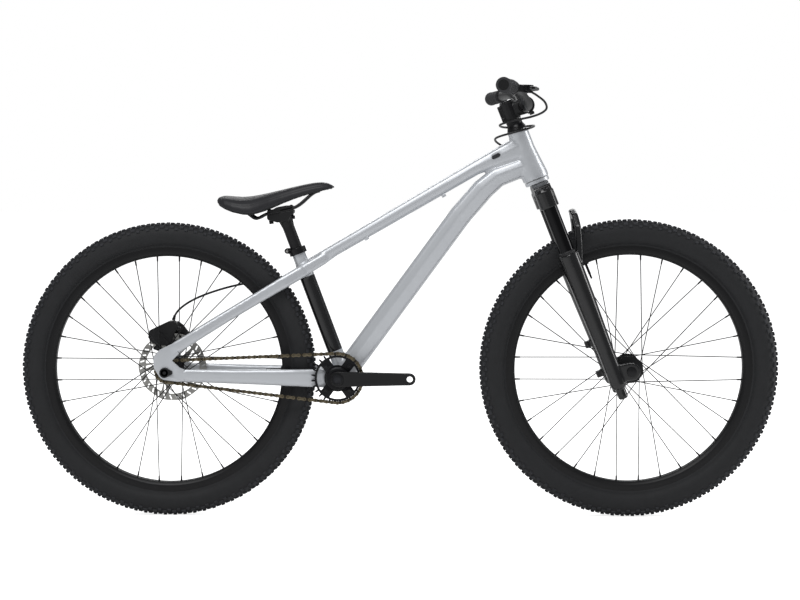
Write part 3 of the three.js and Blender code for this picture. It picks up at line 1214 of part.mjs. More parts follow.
const frontHosePoints = [[283.1, -164.4, 975.2], [285.1, -151.7, 975.2], [293, -142, 971], [308, -138, 962],
  [324, -133, 949],
  [329, -118, 935], [318, -97, 925], [298, -70, 918], [278, -46, 914], [256, -34, 909], [236, -18, 904],
    [230, 2, 900],
  [238, 24, 897], [260, 36, 896], [284, 30, 898], [303, 14, 900], [308, -6, 899], [298, -27, 894], [276,
    -37, 888],
  [250, -35, 881], [229, -22, 875], [220, 0, 870], [222, 20, 864], [232, 30, 857], [241, 31, 850], [247, 27,
    844],
  [249.5, 23.6, 840.5]];
fork.updateMatrixWorld(true);
const masterPort = leverAt(pivotInward + masterLength + seatGap, masterLead).applyMatrix4(fork.matrixWorld);
const framePortBack = 35.3;
const framePortSide = 23.6;
const framePortDrop = 10.8;
const framePort = topHead.clone().add(V(-framePortBack, framePortSide, -framePortDrop));
const frontHoseLead = 6;
const frontRoute = laid(frontHosePoints, masterPort, framePort, frontHoseLead);
bike.add(piece("front_hose", hose(frontRoute, hoseRadius, 38, 8), blackPlastic));

export default bike;
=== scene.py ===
import bmesh
import bpy
from math import asin, atan2, copysign, cos, pi, radians, sin, sqrt
from mathutils import Matrix, Vector


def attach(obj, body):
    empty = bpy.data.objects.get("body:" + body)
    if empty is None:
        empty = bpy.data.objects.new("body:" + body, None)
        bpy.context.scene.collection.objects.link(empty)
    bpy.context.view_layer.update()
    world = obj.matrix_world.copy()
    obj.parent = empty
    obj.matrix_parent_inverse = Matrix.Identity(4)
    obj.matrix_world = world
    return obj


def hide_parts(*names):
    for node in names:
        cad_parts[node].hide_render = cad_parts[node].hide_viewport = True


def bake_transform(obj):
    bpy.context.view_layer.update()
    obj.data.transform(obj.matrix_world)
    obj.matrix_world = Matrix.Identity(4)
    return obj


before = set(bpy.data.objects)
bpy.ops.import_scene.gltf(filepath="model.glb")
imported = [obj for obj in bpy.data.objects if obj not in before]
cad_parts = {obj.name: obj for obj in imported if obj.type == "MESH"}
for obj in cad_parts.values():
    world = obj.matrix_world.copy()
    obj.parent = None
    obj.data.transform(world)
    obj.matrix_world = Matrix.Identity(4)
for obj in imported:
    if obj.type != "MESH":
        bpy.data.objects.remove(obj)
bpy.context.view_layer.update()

# The studio: a long lens on the bike's right side, a white sweep under and behind it, and large
# soft lights, so that painted metal shows broad, quiet reflections.
photo_size = (800, 600)
camera_place = Vector((0.071, -4.2, 0.799))
camera_aim = Vector((0.0018, 0, 0.500))
focal_pixels = 1828
film_width_mm = 36


def placed(name, data):
    """An object of some data, linked to the scene."""
    made = bpy.data.objects.new(name, data)
    bpy.context.collection.objects.link(made)
    return made


lens = bpy.data.cameras.new("long_lens")
lens.sensor_width = film_width_mm
lens.lens = focal_pixels / photo_size[0] * film_width_mm
camera = placed("long_lens", lens)
camera.location = camera_place
camera.rotation_euler = (camera_aim - camera_place).to_track_quat("-Z", "Y").to_euler()
bpy.context.scene.camera = camera
bpy.context.scene.view_settings.view_transform = "Standard"


def hue(code):
    """An sRGB hex value as the linear colour that a shader takes."""
    parts = [int(code[i:i + 2], 16) / 255 for i in (0, 2, 4)]
    linear = [p / 12.92 if p <= 0.04045 else ((p + 0.055) / 1.055) ** 2.4 for p in parts]
    return (*linear, 1)


def add(tree, kind, inputs=None, **settings):
    """Adds a node with its settings, its input values and its links."""
    made = tree.nodes.new(kind)
    for name, value in settings.items():
        setattr(made, name, value)
    for name, value in (inputs or {}).items():
        if isinstance(value, bpy.types.NodeSocket):
            tree.links.new(value, made.inputs[name])
        else:
            made.inputs[name].default_value = value
    return made


def softbox(name, place, aim, size, watts):
    """A soft rectangular light that looks from its place at a point."""
    lamp = bpy.data.lights.new(name, "AREA")
    lamp.shape = "RECTANGLE"
    lamp.size, lamp.size_y = size
    lamp.energy = watts
    made = placed(name, lamp)
    made.location = place
    made.rotation_euler = (Vector(aim) - Vector(place)).to_track_quat("-Z", "Y").to_euler()


softbox("key_softbox", (-0.9, -2.2, 3.6), (0, 0, 0.45), (3.2, 1.6), 70)
softbox("right_strip", (3.0, 0.2, 1.4), (0.2, 0, 0.6), (0.7, 2.2), 30)
softbox("back_strip", (0.2, 2.6, 2.4), (0, 0, 0.6), (3.4, 0.8), 30)

world = bpy.data.worlds.new("white_room")
bpy.context.scene.world = world
world.use_nodes = True
sky = world.node_tree
sky.nodes.clear()
rays = add(sky, "ShaderNodeLightPath")
clear = add(
    sky, "ShaderNodeMath", {0: rays.outputs["Is Camera Ray"], 1: rays.outputs["Is Transmission Ray"]},
    operation="MAXIMUM")
white_room = add(sky, "ShaderNodeBackground", {"Color": hue("ffffff"), "Strength": 1.0})
mirrored_room = add(sky, "ShaderNodeBackground", {"Color": hue("f4f6f8"), "Strength": 0.24})
lit_room = add(sky, "ShaderNodeBackground", {"Color": hue("f8f9fa"), "Strength": 0.6})
unseen = add(
    sky, "ShaderNodeMixShader", {0: rays.outputs["Is Glossy Ray"], 1: lit_room.outputs[0],
    2: mirrored_room.outputs[0]})
both = add(sky, "ShaderNodeMixShader", {0: clear.outputs[0], 1: unseen.outputs[0], 2: white_room.outputs[0]})
add(sky, "ShaderNodeOutputWorld", {"Surface": both.outputs[0]})

floor_reach = 30
floor_mesh = bpy.data.meshes.new("studio_floor")
floor_corners = [(x * floor_reach, y * floor_reach, 0) for x, y in ((-1, -1), (1, -1), (1, 1), (-1, 1))]
floor_mesh.from_pydata(floor_corners, [], [(0, 1, 2, 3)])
floor = placed("studio_floor", floor_mesh)
floor_paper = bpy.data.materials.new("white_paper_floor")
floor_paper.use_nodes = True
floor_tree = floor_paper.node_tree
floor_tree.nodes.clear()
paper = add(floor_tree, "ShaderNodeBsdfDiffuse", {"Color": hue("dcdcdc")})
paper_glow = add(floor_tree, "ShaderNodeEmission", {"Color": hue("ffffff"), "Strength": 0.8})
paper_rays = add(floor_tree, "ShaderNodeLightPath")
paper_sum = add(floor_tree, "ShaderNodeAddShader", {0: paper.outputs[0], 1: paper_glow.outputs[0]})
paper_mix = add(
    floor_tree, "ShaderNodeMixShader", {0: paper_rays.outputs["Is Camera Ray"], 1: paper.outputs[0],
    2: paper_sum.outputs[0]})
add(floor_tree, "ShaderNodeOutputMaterial", {"Surface": paper_mix.outputs[0]})
floor.data.materials.append(floor_paper)

# The frame: hydroformed aluminium tubes welded into one piece, ground smooth at the joints, then
# sprayed with a satin silver lacquer. The tubes are joined here as the welder does it, with a small
# fillet at each joint, and the bores are reamed afterwards.
weld_voxel = 0.0023
weld_smoothing = 10
silver_tubes = [
    "head_tube", "down_tube", "top_tube", "seat_tube", "bottom_bracket_shell", "chainstay_right",
    "chainstay_left", "seatstay_right", "seatstay_left"]
dropout_plates = ["dropout_right", "dropout_left"]
sharp_angle = radians(32)


def put(name, mesh, body, slot, material, *stands_for):
    """A finished piece on its body, with its material, in place of the solids it stands for."""
    made = placed(name, mesh)
    mesh.materials.clear()
    mesh.materials.append(material)
    mesh.shade_smooth()
    mesh.set_sharp_from_angle(angle=sharp_angle)
    if body:
        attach(made, body)
    if stands_for:
        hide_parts(*stands_for)
    return made


def baked(work, name):
    """The finished work as a mesh."""
    mesh = bpy.data.meshes.new(name)
    work.to_mesh(mesh)
    work.free()
    return mesh


def copied(names):
    """One mesh of the named solids, with their doubled points merged."""
    work = bmesh.new()
    for name in names:
        work.from_mesh(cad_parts[name].data)
    bmesh.ops.remove_doubles(work, verts=work.verts, dist=1e-6)
    return baked(work, names[0] + "_copy")


def taken(rough):
    """The mesh that an object makes. The object itself is removed."""
    seen_by = bpy.context.evaluated_depsgraph_get()
    made = bpy.data.meshes.new_from_object(rough.evaluated_get(seen_by))
    bpy.data.objects.remove(rough)
    return made


def worked(mesh, *steps):
    """A mesh after modifiers, each given as (type, settings)."""
    rough = placed("workpiece", mesh)
    for kind, settings in steps:
        step = rough.modifiers.new(kind.lower(), kind)
        for key, value in settings.items():
            setattr(step, key, value)
    return taken(rough)


def recast(mesh, voxel, passes):
    """The mesh as one skin with rounded edges, as a weld, a casting or a forging has them."""
    return worked(
        mesh, ("REMESH", {"mode": "VOXEL", "voxel_size": voxel, "use_smooth_shade": True}),
        ("SMOOTH", {"factor": 0.5, "iterations": passes}))


def eased(mesh, width, segments=2, angle=radians(30)):
    """The same mesh with its edges rounded."""
    return worked(
        mesh, ("BEVEL", {"width": width, "segments": segments, "limit_method": "ANGLE",
        "angle_limit": angle}))


def rods(*bars):
    """One mesh of round bars, each given as (from, to, radius, end radius, sides)."""
    work = bmesh.new()
    for low, high, radius, end, sides in bars:
        made = bmesh.ops.create_cone(
            work, cap_ends=True, segments=sides, radius1=radius, radius2=end,
            depth=(high - low).length)["verts"]
        turn = (high - low).to_track_quat("Z", "Y").to_matrix().to_4x4()
        bmesh.ops.transform(work, matrix=Matrix.Translation((low + high) / 2) @ turn, verts=made)
    return baked(work, "rods")


def round_bar(foot, way, low, high, radius):
    """A round bar along a way from a foot, from low to high."""
    return rods((foot + low * way, foot + high * way, radius, radius, 64))


def reamed(mesh, *tools):
    """The mesh with each tool's shape cut out of it."""
    for tool in tools:
        reamer = placed("reamer", tool)
        mesh = worked(mesh, ("BOOLEAN", {"operation": "DIFFERENCE", "object": reamer, "solver": "EXACT"}))
        bpy.data.objects.remove(reamer)
    return mesh


def finish(
        name, light, dark, metal, smooth, rough, grain_mm, relief_mm, coat=0.0, coat_gloss=0.2, cloud_mm=70):
    """A surface that drifts slowly between two colours, with a fine grain in its gloss and a slight relief.
    The grain and the drift are sizes on the real piece, in millimetres."""
    made = bpy.data.materials.new(name)
    made.use_nodes = True
    tree = made.node_tree
    tree.nodes.clear()
    place = add(tree, "ShaderNodeTexCoord").outputs["Object"]
    grain = add(tree, "ShaderNodeTexNoise", {"Vector": place, "Scale": 1000 / grain_mm, "Detail": 2.0})
    cloud = add(tree, "ShaderNodeTexNoise", {"Vector": place, "Scale": 1000 / cloud_mm, "Detail": 3.0})
    tint = add(
        tree, "ShaderNodeMix", {0: cloud.outputs["Fac"], 6: hue(dark), 7: hue(light)}, data_type="RGBA")
    gloss = add(
        tree, "ShaderNodeMapRange", {"Value": grain.outputs["Fac"], "To Min": smooth, "To Max": rough})
    relief = add(
        tree, "ShaderNodeBump", {"Strength": 0.5, "Distance": relief_mm / 1000,
        "Height": grain.outputs["Fac"]})
    surface = add(
        tree, "ShaderNodeBsdfPrincipled", {"Base Color": tint.outputs[2], "Metallic": metal,
        "Roughness": gloss.outputs[0], "Coat Weight": coat, "Coat Roughness": coat_gloss,
        "Normal": relief.outputs[0]}, name="surface")
    add(tree, "ShaderNodeOutputMaterial", {"Surface": surface.outputs[0]})
    return made


# Satin lacquer over metal flake: light rolls off it in a soft sheen with no sharp reflection.
silver = finish(
    "satin_silver_lacquer", "d2d5d9", "c9ccd1", 0.45, 0.3, 0.4, 0.7, 0.02, coat=0.3, coat_gloss=0.25)
steer_foot = Vector((0.31413, 0, 0.7768))
steer_up = Vector((-0.3665, 0, 0.93042))
steer_front = Vector((0.93042, 0, 0.3665))
seat_way = Vector((-0.35021, 0, 0.93667))
bracket = Vector((-0.13992, 0, 0.324))
seat_foot = bracket + Vector((0.014, 0, 0))
rear_axle = Vector((-0.532, 0, 0.339))
front_axle = Vector((0.528, 0, 0.343))
across = Vector((0, 1, 0))

# The web that runs from each seat stay past the seat tube into the top tube, from tail to nose: the
# middle of each station, its half thickness and its half depth.
web_stations = [
    ((-0.250, 0.0245, 0.550), 0.0068, 0.0125), ((-0.208, 0.019, 0.575), 0.008, 0.013),
    ((-0.176, 0.012, 0.594), 0.0072, 0.0125), ((-0.148, 0.006, 0.6095), 0.003, 0.0085)]
web_waist, web_lean, web_fall = 0.6, 0.5, 0.87
neck_foot, neck_top, neck_fill = 0.2, 0.3155, 0.0145
post_bore, head_bore, shell_bore, shell_reach = 0.0139, 0.0205, 0.0185, 0.06
work = bmesh.new()
work.from_mesh(copied(silver_tubes))
work.from_mesh(round_bar(seat_foot, seat_way, neck_foot, neck_top, neck_fill))
for side in (-1, 1):
    for pair in zip(web_stations, web_stations[1:]):
        corners = []
        for (x, y, z), thick, deep in pair:
            for out in (-1, 1):
                for up, narrow in ((-1, web_waist), (-web_waist, 1), (web_waist, 1), (1, web_waist)):
                    corner = (
                        x - up * deep * web_lean, side * y + out * thick * narrow, z + up * deep * web_fall)
                    corners.append(work.verts.new(corner))
        bmesh.ops.convex_hull(work, input=corners)
joined = baked(work, "joined_tubes")
welded = reamed(
    recast(joined, weld_voxel, weld_smoothing), round_bar(steer_foot, steer_up, -0.02, 0.14, head_bore),
    round_bar(seat_foot, seat_way, 0.12, 0.33, post_bore),
    round_bar(bracket, across, -shell_reach, shell_reach, shell_bore))
put("frame_weldment", welded, "frame", "silver_paint", silver, *silver_tubes)

# Below the stays the seat tube is painted black: a film on the same surface, with clean masked edges.
paint_foot, paint_top, paint_film = 0.063, 0.246, 0.0006
paint_least, paint_most = 0.0155, 0.0195
work = bmesh.new()
work.from_mesh(welded)
for up in (paint_foot, paint_top):
    bmesh.ops.bisect_plane(
        work, geom=work.verts[:] + work.edges[:] + work.faces[:], plane_co=seat_foot + seat_way * up,
        plane_no=seat_way)
spare = []
for face in work.faces:
    offset = face.calc_center_median() - seat_foot
    up = offset.dot(seat_way)
    if not (paint_foot < up < paint_top and paint_least < (offset - seat_way * up).length < paint_most):
        spare.append(face)
bmesh.ops.delete(work, geom=spare, context="FACES")
film = baked(work, "masked_film")
seat_black = finish(
    "gloss_black_lacquer", "121214", "0e0e10", 0.0, 0.2, 0.3, 2.5, 0.01, coat=0.4, coat_gloss=0.08)
put(
    "seat_tube_black_band", worked(film, ("SOLIDIFY", {"thickness": paint_film, "offset": 0.0})), "frame",
    "gloss_black", seat_black, "seat_tube")
put(
    "dropout_plates", eased(copied(dropout_plates), 0.0012, 3, sharp_angle), "frame", "silver_paint", silver,
    *dropout_plates)

# The rims: extruded aluminium hoops, welded, drilled and anodised black. Their walls are straight and
# their edges rounded, and the tyre's bead sits between the two lips.
wheel_sides = 144
rim_inner, rim_shoulder, rim_outer, rim_bed = 0.262, 0.269, 0.284, 0.270
rim_half, rim_wall, rim_flat = 0.0155, 0.002, 0.0093
wheels = {"front": (front_axle, 0.343, 0.061), "rear": (rear_axle, 0.339, 0.057)}


def skin(work, rows):
    """Faces between each closed row of points and the next."""
    for here, there in zip(rows, rows[1:]):
        for j in range(len(here)):
            k = (j + 1) % len(here)
            work.faces.new((here[j], here[k], there[k], there[j]))


def revolved(profile, centre, sides=wheel_sides, axis=across):
    """A closed profile of (radius, along) points turned round an axis through a centre."""
    work = bmesh.new()
    turn = axis.to_track_quat("Z", "Y").to_matrix()
    rows = []
    for i in range(sides):
        angle = 2 * pi * i / sides
        way = turn @ Vector((cos(angle), sin(angle), 0))
        rows.append([work.verts.new(centre + way * radius + axis * along) for radius, along in profile])
    skin(work, rows + rows[:1])
    bmesh.ops.remove_doubles(work, verts=work.verts, dist=1e-6)
    bmesh.ops.recalc_face_normals(work, faces=work.faces)
    return baked(work, "revolved")


def turned(name, centre, body, slot, material, solid, profile_mm, sides=96, axis=across):
    """A turned ring in place of its solid. Its profile is in millimetres, as (radius, along)."""
    profile = [(radius / 1000, along / 1000) for radius, along in profile_mm]
    put(name, revolved(profile, centre, sides, axis), body, slot, material, solid)


anodised = finish("black_anodised_aluminium", "141416", "0f0f11", 0.3, 0.34, 0.5, 0.9, 0.01)
rim_side = [
    (rim_inner, rim_flat), (rim_shoulder, rim_half), (rim_outer, rim_half), (rim_outer, rim_half - rim_wall),
    (rim_bed, rim_half - rim_wall)]
rim_profile = rim_side + [(radius, -along) for radius, along in reversed(rim_side)]
for end, (axle, tyre_radius, tyre_width) in wheels.items():
    put(
        f"{end}_rim_hoop", eased(revolved(rim_profile, axle), 0.0009), f"{end}_wheel", "black_metal",
        anodised, f"{end}_rim")

# The tyres: a moulded casing of black rubber with a close pattern of small blocks on the crown and a
# row of larger ones along each shoulder. The blocks are cut straight and their tops are scuffed paler.
lug_height, lug_taper, crown_sink, side_sink = 0.004, 0.86, 0.0005, 0.0012
casing_wall, casing_power, bead_foot = 0.0025, 0.8, 0.002
tread_pitches, crown_offset = 92, 0.0052
# Blocks in one pitch: half pitches ahead, angle up from the side of the tyre, length and breadth.
tread_rows = (
    (0, 90, 0.0088, 0.0085), (1, 69, 0.0095, 0.0065), (0, 48, 0.0108, 0.0085), (1, 34, 0.0085, 0.006))
rubber = finish("tyre_rubber", "1f2023", "161719", 0.0, 0.62, 0.8, 1.6, 0.05, cloud_mm=25)
lug_rubber = finish("scuffed_tread_rubber", "323338", "1e1f22", 0.0, 0.7, 0.88, 2.2, 0.12, cloud_mm=9)

spread = bpy.data.node_groups.new("copies_at_places", "GeometryNodeTree")
for socket_name, kind in (
        ("Piece", "NodeSocketGeometry"), ("Places", "NodeSocketObject"), ("Finish", "NodeSocketMaterial")):
    spread.interface.new_socket(socket_name, in_out="INPUT", socket_type=kind)
spread.interface.new_socket("Made", in_out="OUTPUT", socket_type="NodeSocketGeometry")
asked = add(spread, "NodeGroupInput")
spots = add(spread, "GeometryNodeObjectInfo", {"Object": asked.outputs["Places"]})
turns = add(spread, "GeometryNodeInputNamedAttribute", {"Name": "turn"}, data_type="FLOAT_VECTOR")
copies = add(
    spread, "GeometryNodeInstanceOnPoints", {"Points": spots.outputs["Geometry"],
    "Instance": asked.outputs["Piece"], "Rotation": turns.outputs[0]})
solid = add(spread, "GeometryNodeRealizeInstances", {0: copies.outputs[0]})
dressed = add(
    spread, "GeometryNodeSetMaterial", {"Geometry": solid.outputs[0], "Material": asked.outputs["Finish"]})
add(spread, "NodeGroupOutput", {"Made": dressed.outputs[0]})


def repeated(mesh, places, material):
    """Copies of a mesh built about the origin, each at (place, turn), as one mesh."""
    dots = bpy.data.meshes.new("places")
    dots.from_pydata([place for place, turn in places], [], [])
    dots.attributes.new("turn", "FLOAT_VECTOR", "POINT").data.foreach_set(
        "vector", [number for place, turn in places for number in turn])
    spot, pattern = placed("places", dots), placed("pattern", mesh)
    step = pattern.modifiers.new("copies", "NODES")
    step.node_group = spread
    given = {"Places": spot, "Finish": material}
    for socket in spread.interface.items_tree:
        if socket.in_out == "INPUT" and socket.name in given:
            step[socket.identifier] = given[socket.name]
    made = taken(pattern)
    bpy.data.objects.remove(spot)
    return made


def ring_of(mesh, count, axle, material):
    """A number of copies of a mesh, turned evenly round an axle."""
    return repeated(mesh, [(axle, (0, 2 * pi * i / count, 0)) for i in range(count)], material)


def tread_block(work, rise, radius, half_width, lean, length, breadth):
    """One block: it leans from straight out, and is turned forward along the tread by rise."""
    made = bmesh.ops.create_cube(work, size=1)["verts"]
    for v in made:
        taper = 1 if v.co.z < 0 else lug_taper
        v.co = Vector((v.co.x * length * taper, v.co.y * breadth * taper, v.co.z * lug_height))
    tilt = Matrix.Rotation(lean, 4, "X")
    place = Matrix.Rotation(rise, 4, "Y") @ Matrix.Translation((0, half_width, radius)) @ tilt
    bmesh.ops.transform(work, matrix=place, verts=made)


for end, (axle, tyre_radius, tyre_width) in wheels.items():
    root = tyre_radius - lug_height
    middle = (root + rim_outer) / 2
    tall, wide = (root - rim_outer) / 2 + 0.001, tyre_width / 2 - 0.0012
    bead = rim_half - rim_wall - 0.0003
    outside = [(rim_bed + bead_foot, bead), (rim_outer + 0.0004, bead)]
    outside += [
        (middle - tall * cos(t), wide * sin(t) ** casing_power)
        for t in [radians(a) for a in range(40, 180, 7)]]
    outside += [(middle + tall, 0)]
    outside += [(r, -y) for r, y in reversed(outside[:-1])]
    inside = [
        (rim_bed + bead_foot, -bead + casing_wall), (middle, -wide + casing_wall), (root - casing_wall, 0),
        (middle, wide - casing_wall), (rim_bed + bead_foot, bead - casing_wall)]
    put(
        f"{end}_tyre_casing", revolved(outside + inside, axle), f"{end}_wheel", "tyre_rubber", rubber,
        f"{end}_tyre")
    work = bmesh.new()
    tread_step = 2 * pi / tread_pitches
    for side in (-1, 1):
        start = 0 if side > 0 else tread_step / 2
        for ahead, angle, length, breadth in tread_rows:
            t = radians(angle)
            y = wide * cos(t) ** casing_power if angle < 90 else crown_offset
            out = lug_height / 2 - (crown_sink if angle == 90 else side_sink)
            tread_block(
                work, start + ahead * tread_step / 2, middle + tall * sin(t) + sin(t) * out,
                side * (y + cos(t) * out), -side * (pi / 2 - t), length, breadth)
    blocks = baked(work, "tread_pitch")
    put(
        f"{end}_tread_blocks", ring_of(eased(blocks, 0.0005, 1), tread_pitches, axle, lug_rubber),
        f"{end}_wheel", "tyre_rubber", lug_rubber, f"{end}_tyre")

# Wheel hubs and spokes: turned shells with flanges, laced three-cross with 32 black spokes. Each spoke
# ends in a nipple that is seated in the rim. Four spokes make a pattern that goes round eight times.
spoke_radius = 0.0011
nipple_radius, nipple_length = 0.0021, 0.011
spokes_in_wheel, pattern_spokes, crossed_steps, flange_lean = 32, 4, 6, 0.00135
# Each hub: its axle, flange radius, right and left flange, end radius, right and left face, and bore.
hubs = {
    "front": (front_axle, 0.031, 0.029, 0.029, 0.012, 0.0497, 0.0497, 0.0078),
    "rear": (rear_axle, 0.029, 0.030, 0.033, 0.016, 0.038, 0.0672, 0.0053)}
spoke_steel = finish("black_spoke_steel", "0f0f11", "0a0a0c", 0.2, 0.38, 0.5, 0.6, 0.005)
hub_black = finish("black_turned_aluminium", "161619", "101012", 0.3, 0.26, 0.4, 0.5, 0.006)


def from_axle(radius, turn, along):
    """A place round an axle, its turn counted from straight up."""
    return Vector((radius * sin(turn), along, radius * cos(turn)))


for end, (axle, flange, right, left, cap, right_face, left_face, bore) in hubs.items():
    ends = (right, right_face, 0.0046), (left, left_face, 0.0092)
    halves = [
        [(bore, face), (cap, face), (cap, plane + boss), (flange - 0.0007, plane + 0.0023),
         (flange, plane + 0.0016), (flange, plane - 0.0016), (flange - 0.0007, plane - 0.0023),
         (0.017, plane - 0.0048), (0.0145, plane - 0.0092)]
        for plane, face, boss in ends]
    shell = [(radius, -along) for radius, along in halves[0]] + [(0.014, 0)] + halves[1][::-1]
    put(
        f"{end}_hub_shell", revolved(shell, axle, 72), f"{end}_wheel", "black_metal", hub_black,
        f"{end}_hub_and_spokes")
    step = 2 * pi / spokes_in_wheel
    strands = []
    for i in range(pattern_spokes):
        plane = left if i % 2 else -right
        lean = flange_lean * (1 if i % 4 < 2 else -1)
        turn = (i + 0.5) * step
        start = from_axle(flange - spoke_radius, turn + copysign(crossed_steps * step, lean), plane + lean)
        stop = from_axle(rim_inner - 0.0004, turn, copysign(0.002, plane) + lean / 2)
        way = (stop - start).normalized()
        strands += [
            (start, stop, spoke_radius, spoke_radius, 10),
            (stop - nipple_length * way, stop, nipple_radius * 0.85, nipple_radius, 8),
            (start - across * copysign(0.003, lean), start + across * copysign(0.0008, lean),
            spoke_radius * 1.9, spoke_radius * 1.9, 10)]
    laced = ring_of(rods(*strands), spokes_in_wheel // pattern_spokes, axle, spoke_steel)
    put(f"{end}_spokes", laced, f"{end}_wheel", "black_metal", spoke_steel, f"{end}_hub_and_spokes")

# The inner tubes: butyl rubber inside the tyre, of which only the valve shows, with its hexagon nut.
valve_radius, valve_length = 0.003, 0.038
valve_turns = {"front": radians(-22.5), "rear": radians(90)}
butyl = finish("butyl_rubber", "1a1a1c", "141416", 0.0, 0.5, 0.65, 1.2, 0.02)
brass = finish("black_valve_brass", "2a2a2c", "1d1d1f", 0.7, 0.3, 0.4, 0.4, 0.01)
for end, (axle, tyre_radius, tyre_width) in wheels.items():
    turn = valve_turns[end]
    foot, head = (axle + from_axle(r, turn, 0) for r in (rim_inner - valve_length, rim_bed))
    way = (head - foot).normalized()
    crown = tyre_radius - 0.0072
    tube_profile = [
        (rim_bed + 0.0014, -0.0084), (rim_bed + 0.0014, 0.0084), (crown - 0.002, 0.0084), (crown, 0.006),
        (crown, -0.006), (crown - 0.002, -0.0084)]
    put(f"{end}_tube", revolved(tube_profile, axle, 96), f"{end}_wheel", "rubber", butyl, f"{end}_inner_tube")
    stem = rods(
        (foot, foot + 0.012 * way, 0.0022, 0.0024, 24),
        (foot + 0.011 * way, head, valve_radius, valve_radius, 24))
    put(f"{end}_valve", eased(stem, 0.0003), f"{end}_wheel", "rubber", brass, f"{end}_inner_tube")
    nut_place = axle + from_axle(rim_inner - 0.0032, turn, 0)
    nut = rods((nut_place, nut_place + 0.003 * way, 0.0075, 0.0075, 6))
    put(f"{end}_valve_nut", eased(nut, 0.0004), f"{end}_wheel", "black_metal", hub_black)

# The chain: inner and outer link plates on hardened pins, with rollers between, worn to a bronze brown.
# Its pins lie at even steps on the loop round the two pitch circles, and each sprocket tooth sits
# between two rollers.
pitch, link_count, ring_teeth, cog_teeth = 0.0127, 82, 28, 12
chain_line, roller_radius, pin_radius, plate_end, plate_waist = -0.049, 0.0039, 0.0018, 0.0041, 0.0027
inner_face, middle_face, outer_face = 0.0019, 0.0028, 0.0037
ring_pitch_radius = pitch / (2 * sin(pi / ring_teeth))
cog_pitch_radius = pitch / (2 * sin(pi / cog_teeth))
stay = (bracket - rear_axle).length
drive_lean = asin((ring_pitch_radius - cog_pitch_radius) / stay)
heading = atan2(bracket.z - rear_axle.z, bracket.x - rear_axle.x)
span = sqrt(stay ** 2 - (ring_pitch_radius - cog_pitch_radius) ** 2)
ring_wrap, cog_wrap = pi + 2 * drive_lean, pi - 2 * drive_lean
loop = 2 * span + ring_wrap * ring_pitch_radius + cog_wrap * cog_pitch_radius
link_step = loop / link_count
upper_out, lower_out = heading + drive_lean + pi / 2, heading - drive_lean - pi / 2


def circle_place(centre, radius, angle):
    """A place on a circle seen from the bike's side, its angle counted from straight ahead."""
    return centre + Vector((radius * cos(angle), 0, radius * sin(angle)))


def loop_place(distance):
    """A pin's place on the loop, and the angle out of it."""
    left = distance % loop
    cog_circle, ring_circle = (rear_axle, cog_pitch_radius), (bracket, ring_pitch_radius)
    for start, stop, out, wrap in (
            (cog_circle, ring_circle, upper_out, ring_wrap), (ring_circle, cog_circle, lower_out, cog_wrap)):
        if left < span:
            return circle_place(*start, out).lerp(circle_place(*stop, out), left / span), out
        left -= span
        centre, radius = stop
        if left < wrap * radius:
            return circle_place(centre, radius, out - left / radius), out - left / radius
        left -= wrap * radius
    return circle_place(*cog_circle, upper_out), upper_out


def sheet(outlines, thickness, edge=0.0):
    """A flat plate: the first outline of (x, z) points is its rim and the rest are holes."""
    curve = bpy.data.curves.new("sheet", "CURVE")
    curve.dimensions, curve.fill_mode = "2D", "BOTH"
    curve.extrude, curve.bevel_depth, curve.offset = thickness / 2 - edge, edge, -edge
    curve.bevel_resolution = 1
    for outline in outlines:
        spline = curve.splines.new("POLY")
        spline.points.add(len(outline) - 1)
        spline.points.foreach_set("co", [n for x, z in outline for n in (x, z, 0, 1)])
        spline.use_cyclic_u = True
    made = taken(placed("sheet", curve))
    made.transform(Matrix(((1, 0, 0, 0), (0, 0, -1, 0), (0, 1, 0, 0), (0, 0, 0, 1))))
    return made


def merged(*parts):
    """One mesh of several, each moved by its offset."""
    work = bmesh.new()
    for mesh, offset in parts:
        before = len(work.verts)
        work.from_mesh(mesh)
        work.verts.ensure_lookup_table()
        bmesh.ops.translate(work, verts=work.verts[before:], vec=offset)
    bmesh.ops.remove_doubles(work, verts=work.verts, dist=1e-7)
    return baked(work, "merged")


def sweep(radius, first, last, steps, ahead=0.0):
    """Points on an arc about a place ahead of the middle, its angles in degrees."""
    turns = [radians(first + (last - first) * i / steps) for i in range(steps + 1)]
    return [(ahead + radius * cos(t), radius * sin(t)) for t in turns]


link_plate = sweep(plate_end, -118, 118, 10, pitch / 2) + [(0, plate_waist)]
link_plate += sweep(plate_end, 62, 298, 10, -pitch / 2) + [(0, -plate_waist)]
plate_bronze = finish("oiled_bronze_plates", "8c816b", "514a3b", 0.8, 0.28, 0.46, 1.4, 0.03, cloud_mm=5)
pin_steel = finish("worn_pin_steel", "a89a86", "6e6150", 0.9, 0.25, 0.4, 0.9, 0.02, cloud_mm=4)
dark_bronze = finish("dark_oiled_rollers", "453e31", "28241c", 0.75, 0.35, 0.55, 1.4, 0.03, cloud_mm=5)
chain_places = []
for i in range(link_count):
    here, _ = loop_place(i * link_step)
    there, _ = loop_place((i + 1) * link_step)
    chain_places.append(
        ((here + there) / 2 + chain_line * across, (0, -atan2(there.z - here.z, there.x - here.x), 0)))
for name, first, low, high, material in (
        ("inner_links", 0, inner_face, middle_face, dark_bronze),
        ("outer_links", 1, middle_face, outer_face, plate_bronze)):
    plate = sheet([link_plate], high - low - 0.0001, 0.0002)
    pair = merged((plate, across * (low + high) / 2), (plate, -across * (low + high) / 2))
    links = repeated(pair, chain_places[first::2], material)
    put(name, links, "frame", "chain_steel", material, "chain")
pin_places = [(loop_place(i * link_step)[0] + chain_line * across, (0, 0, 0)) for i in range(link_count)]
half = across * (outer_face - 0.00005)
pin = eased(rods((-half, half, pin_radius, pin_radius, 16)), 0.0003)
put("chain_pins", repeated(pin, pin_places, pin_steel), "frame", "chain_steel", pin_steel, "chain")
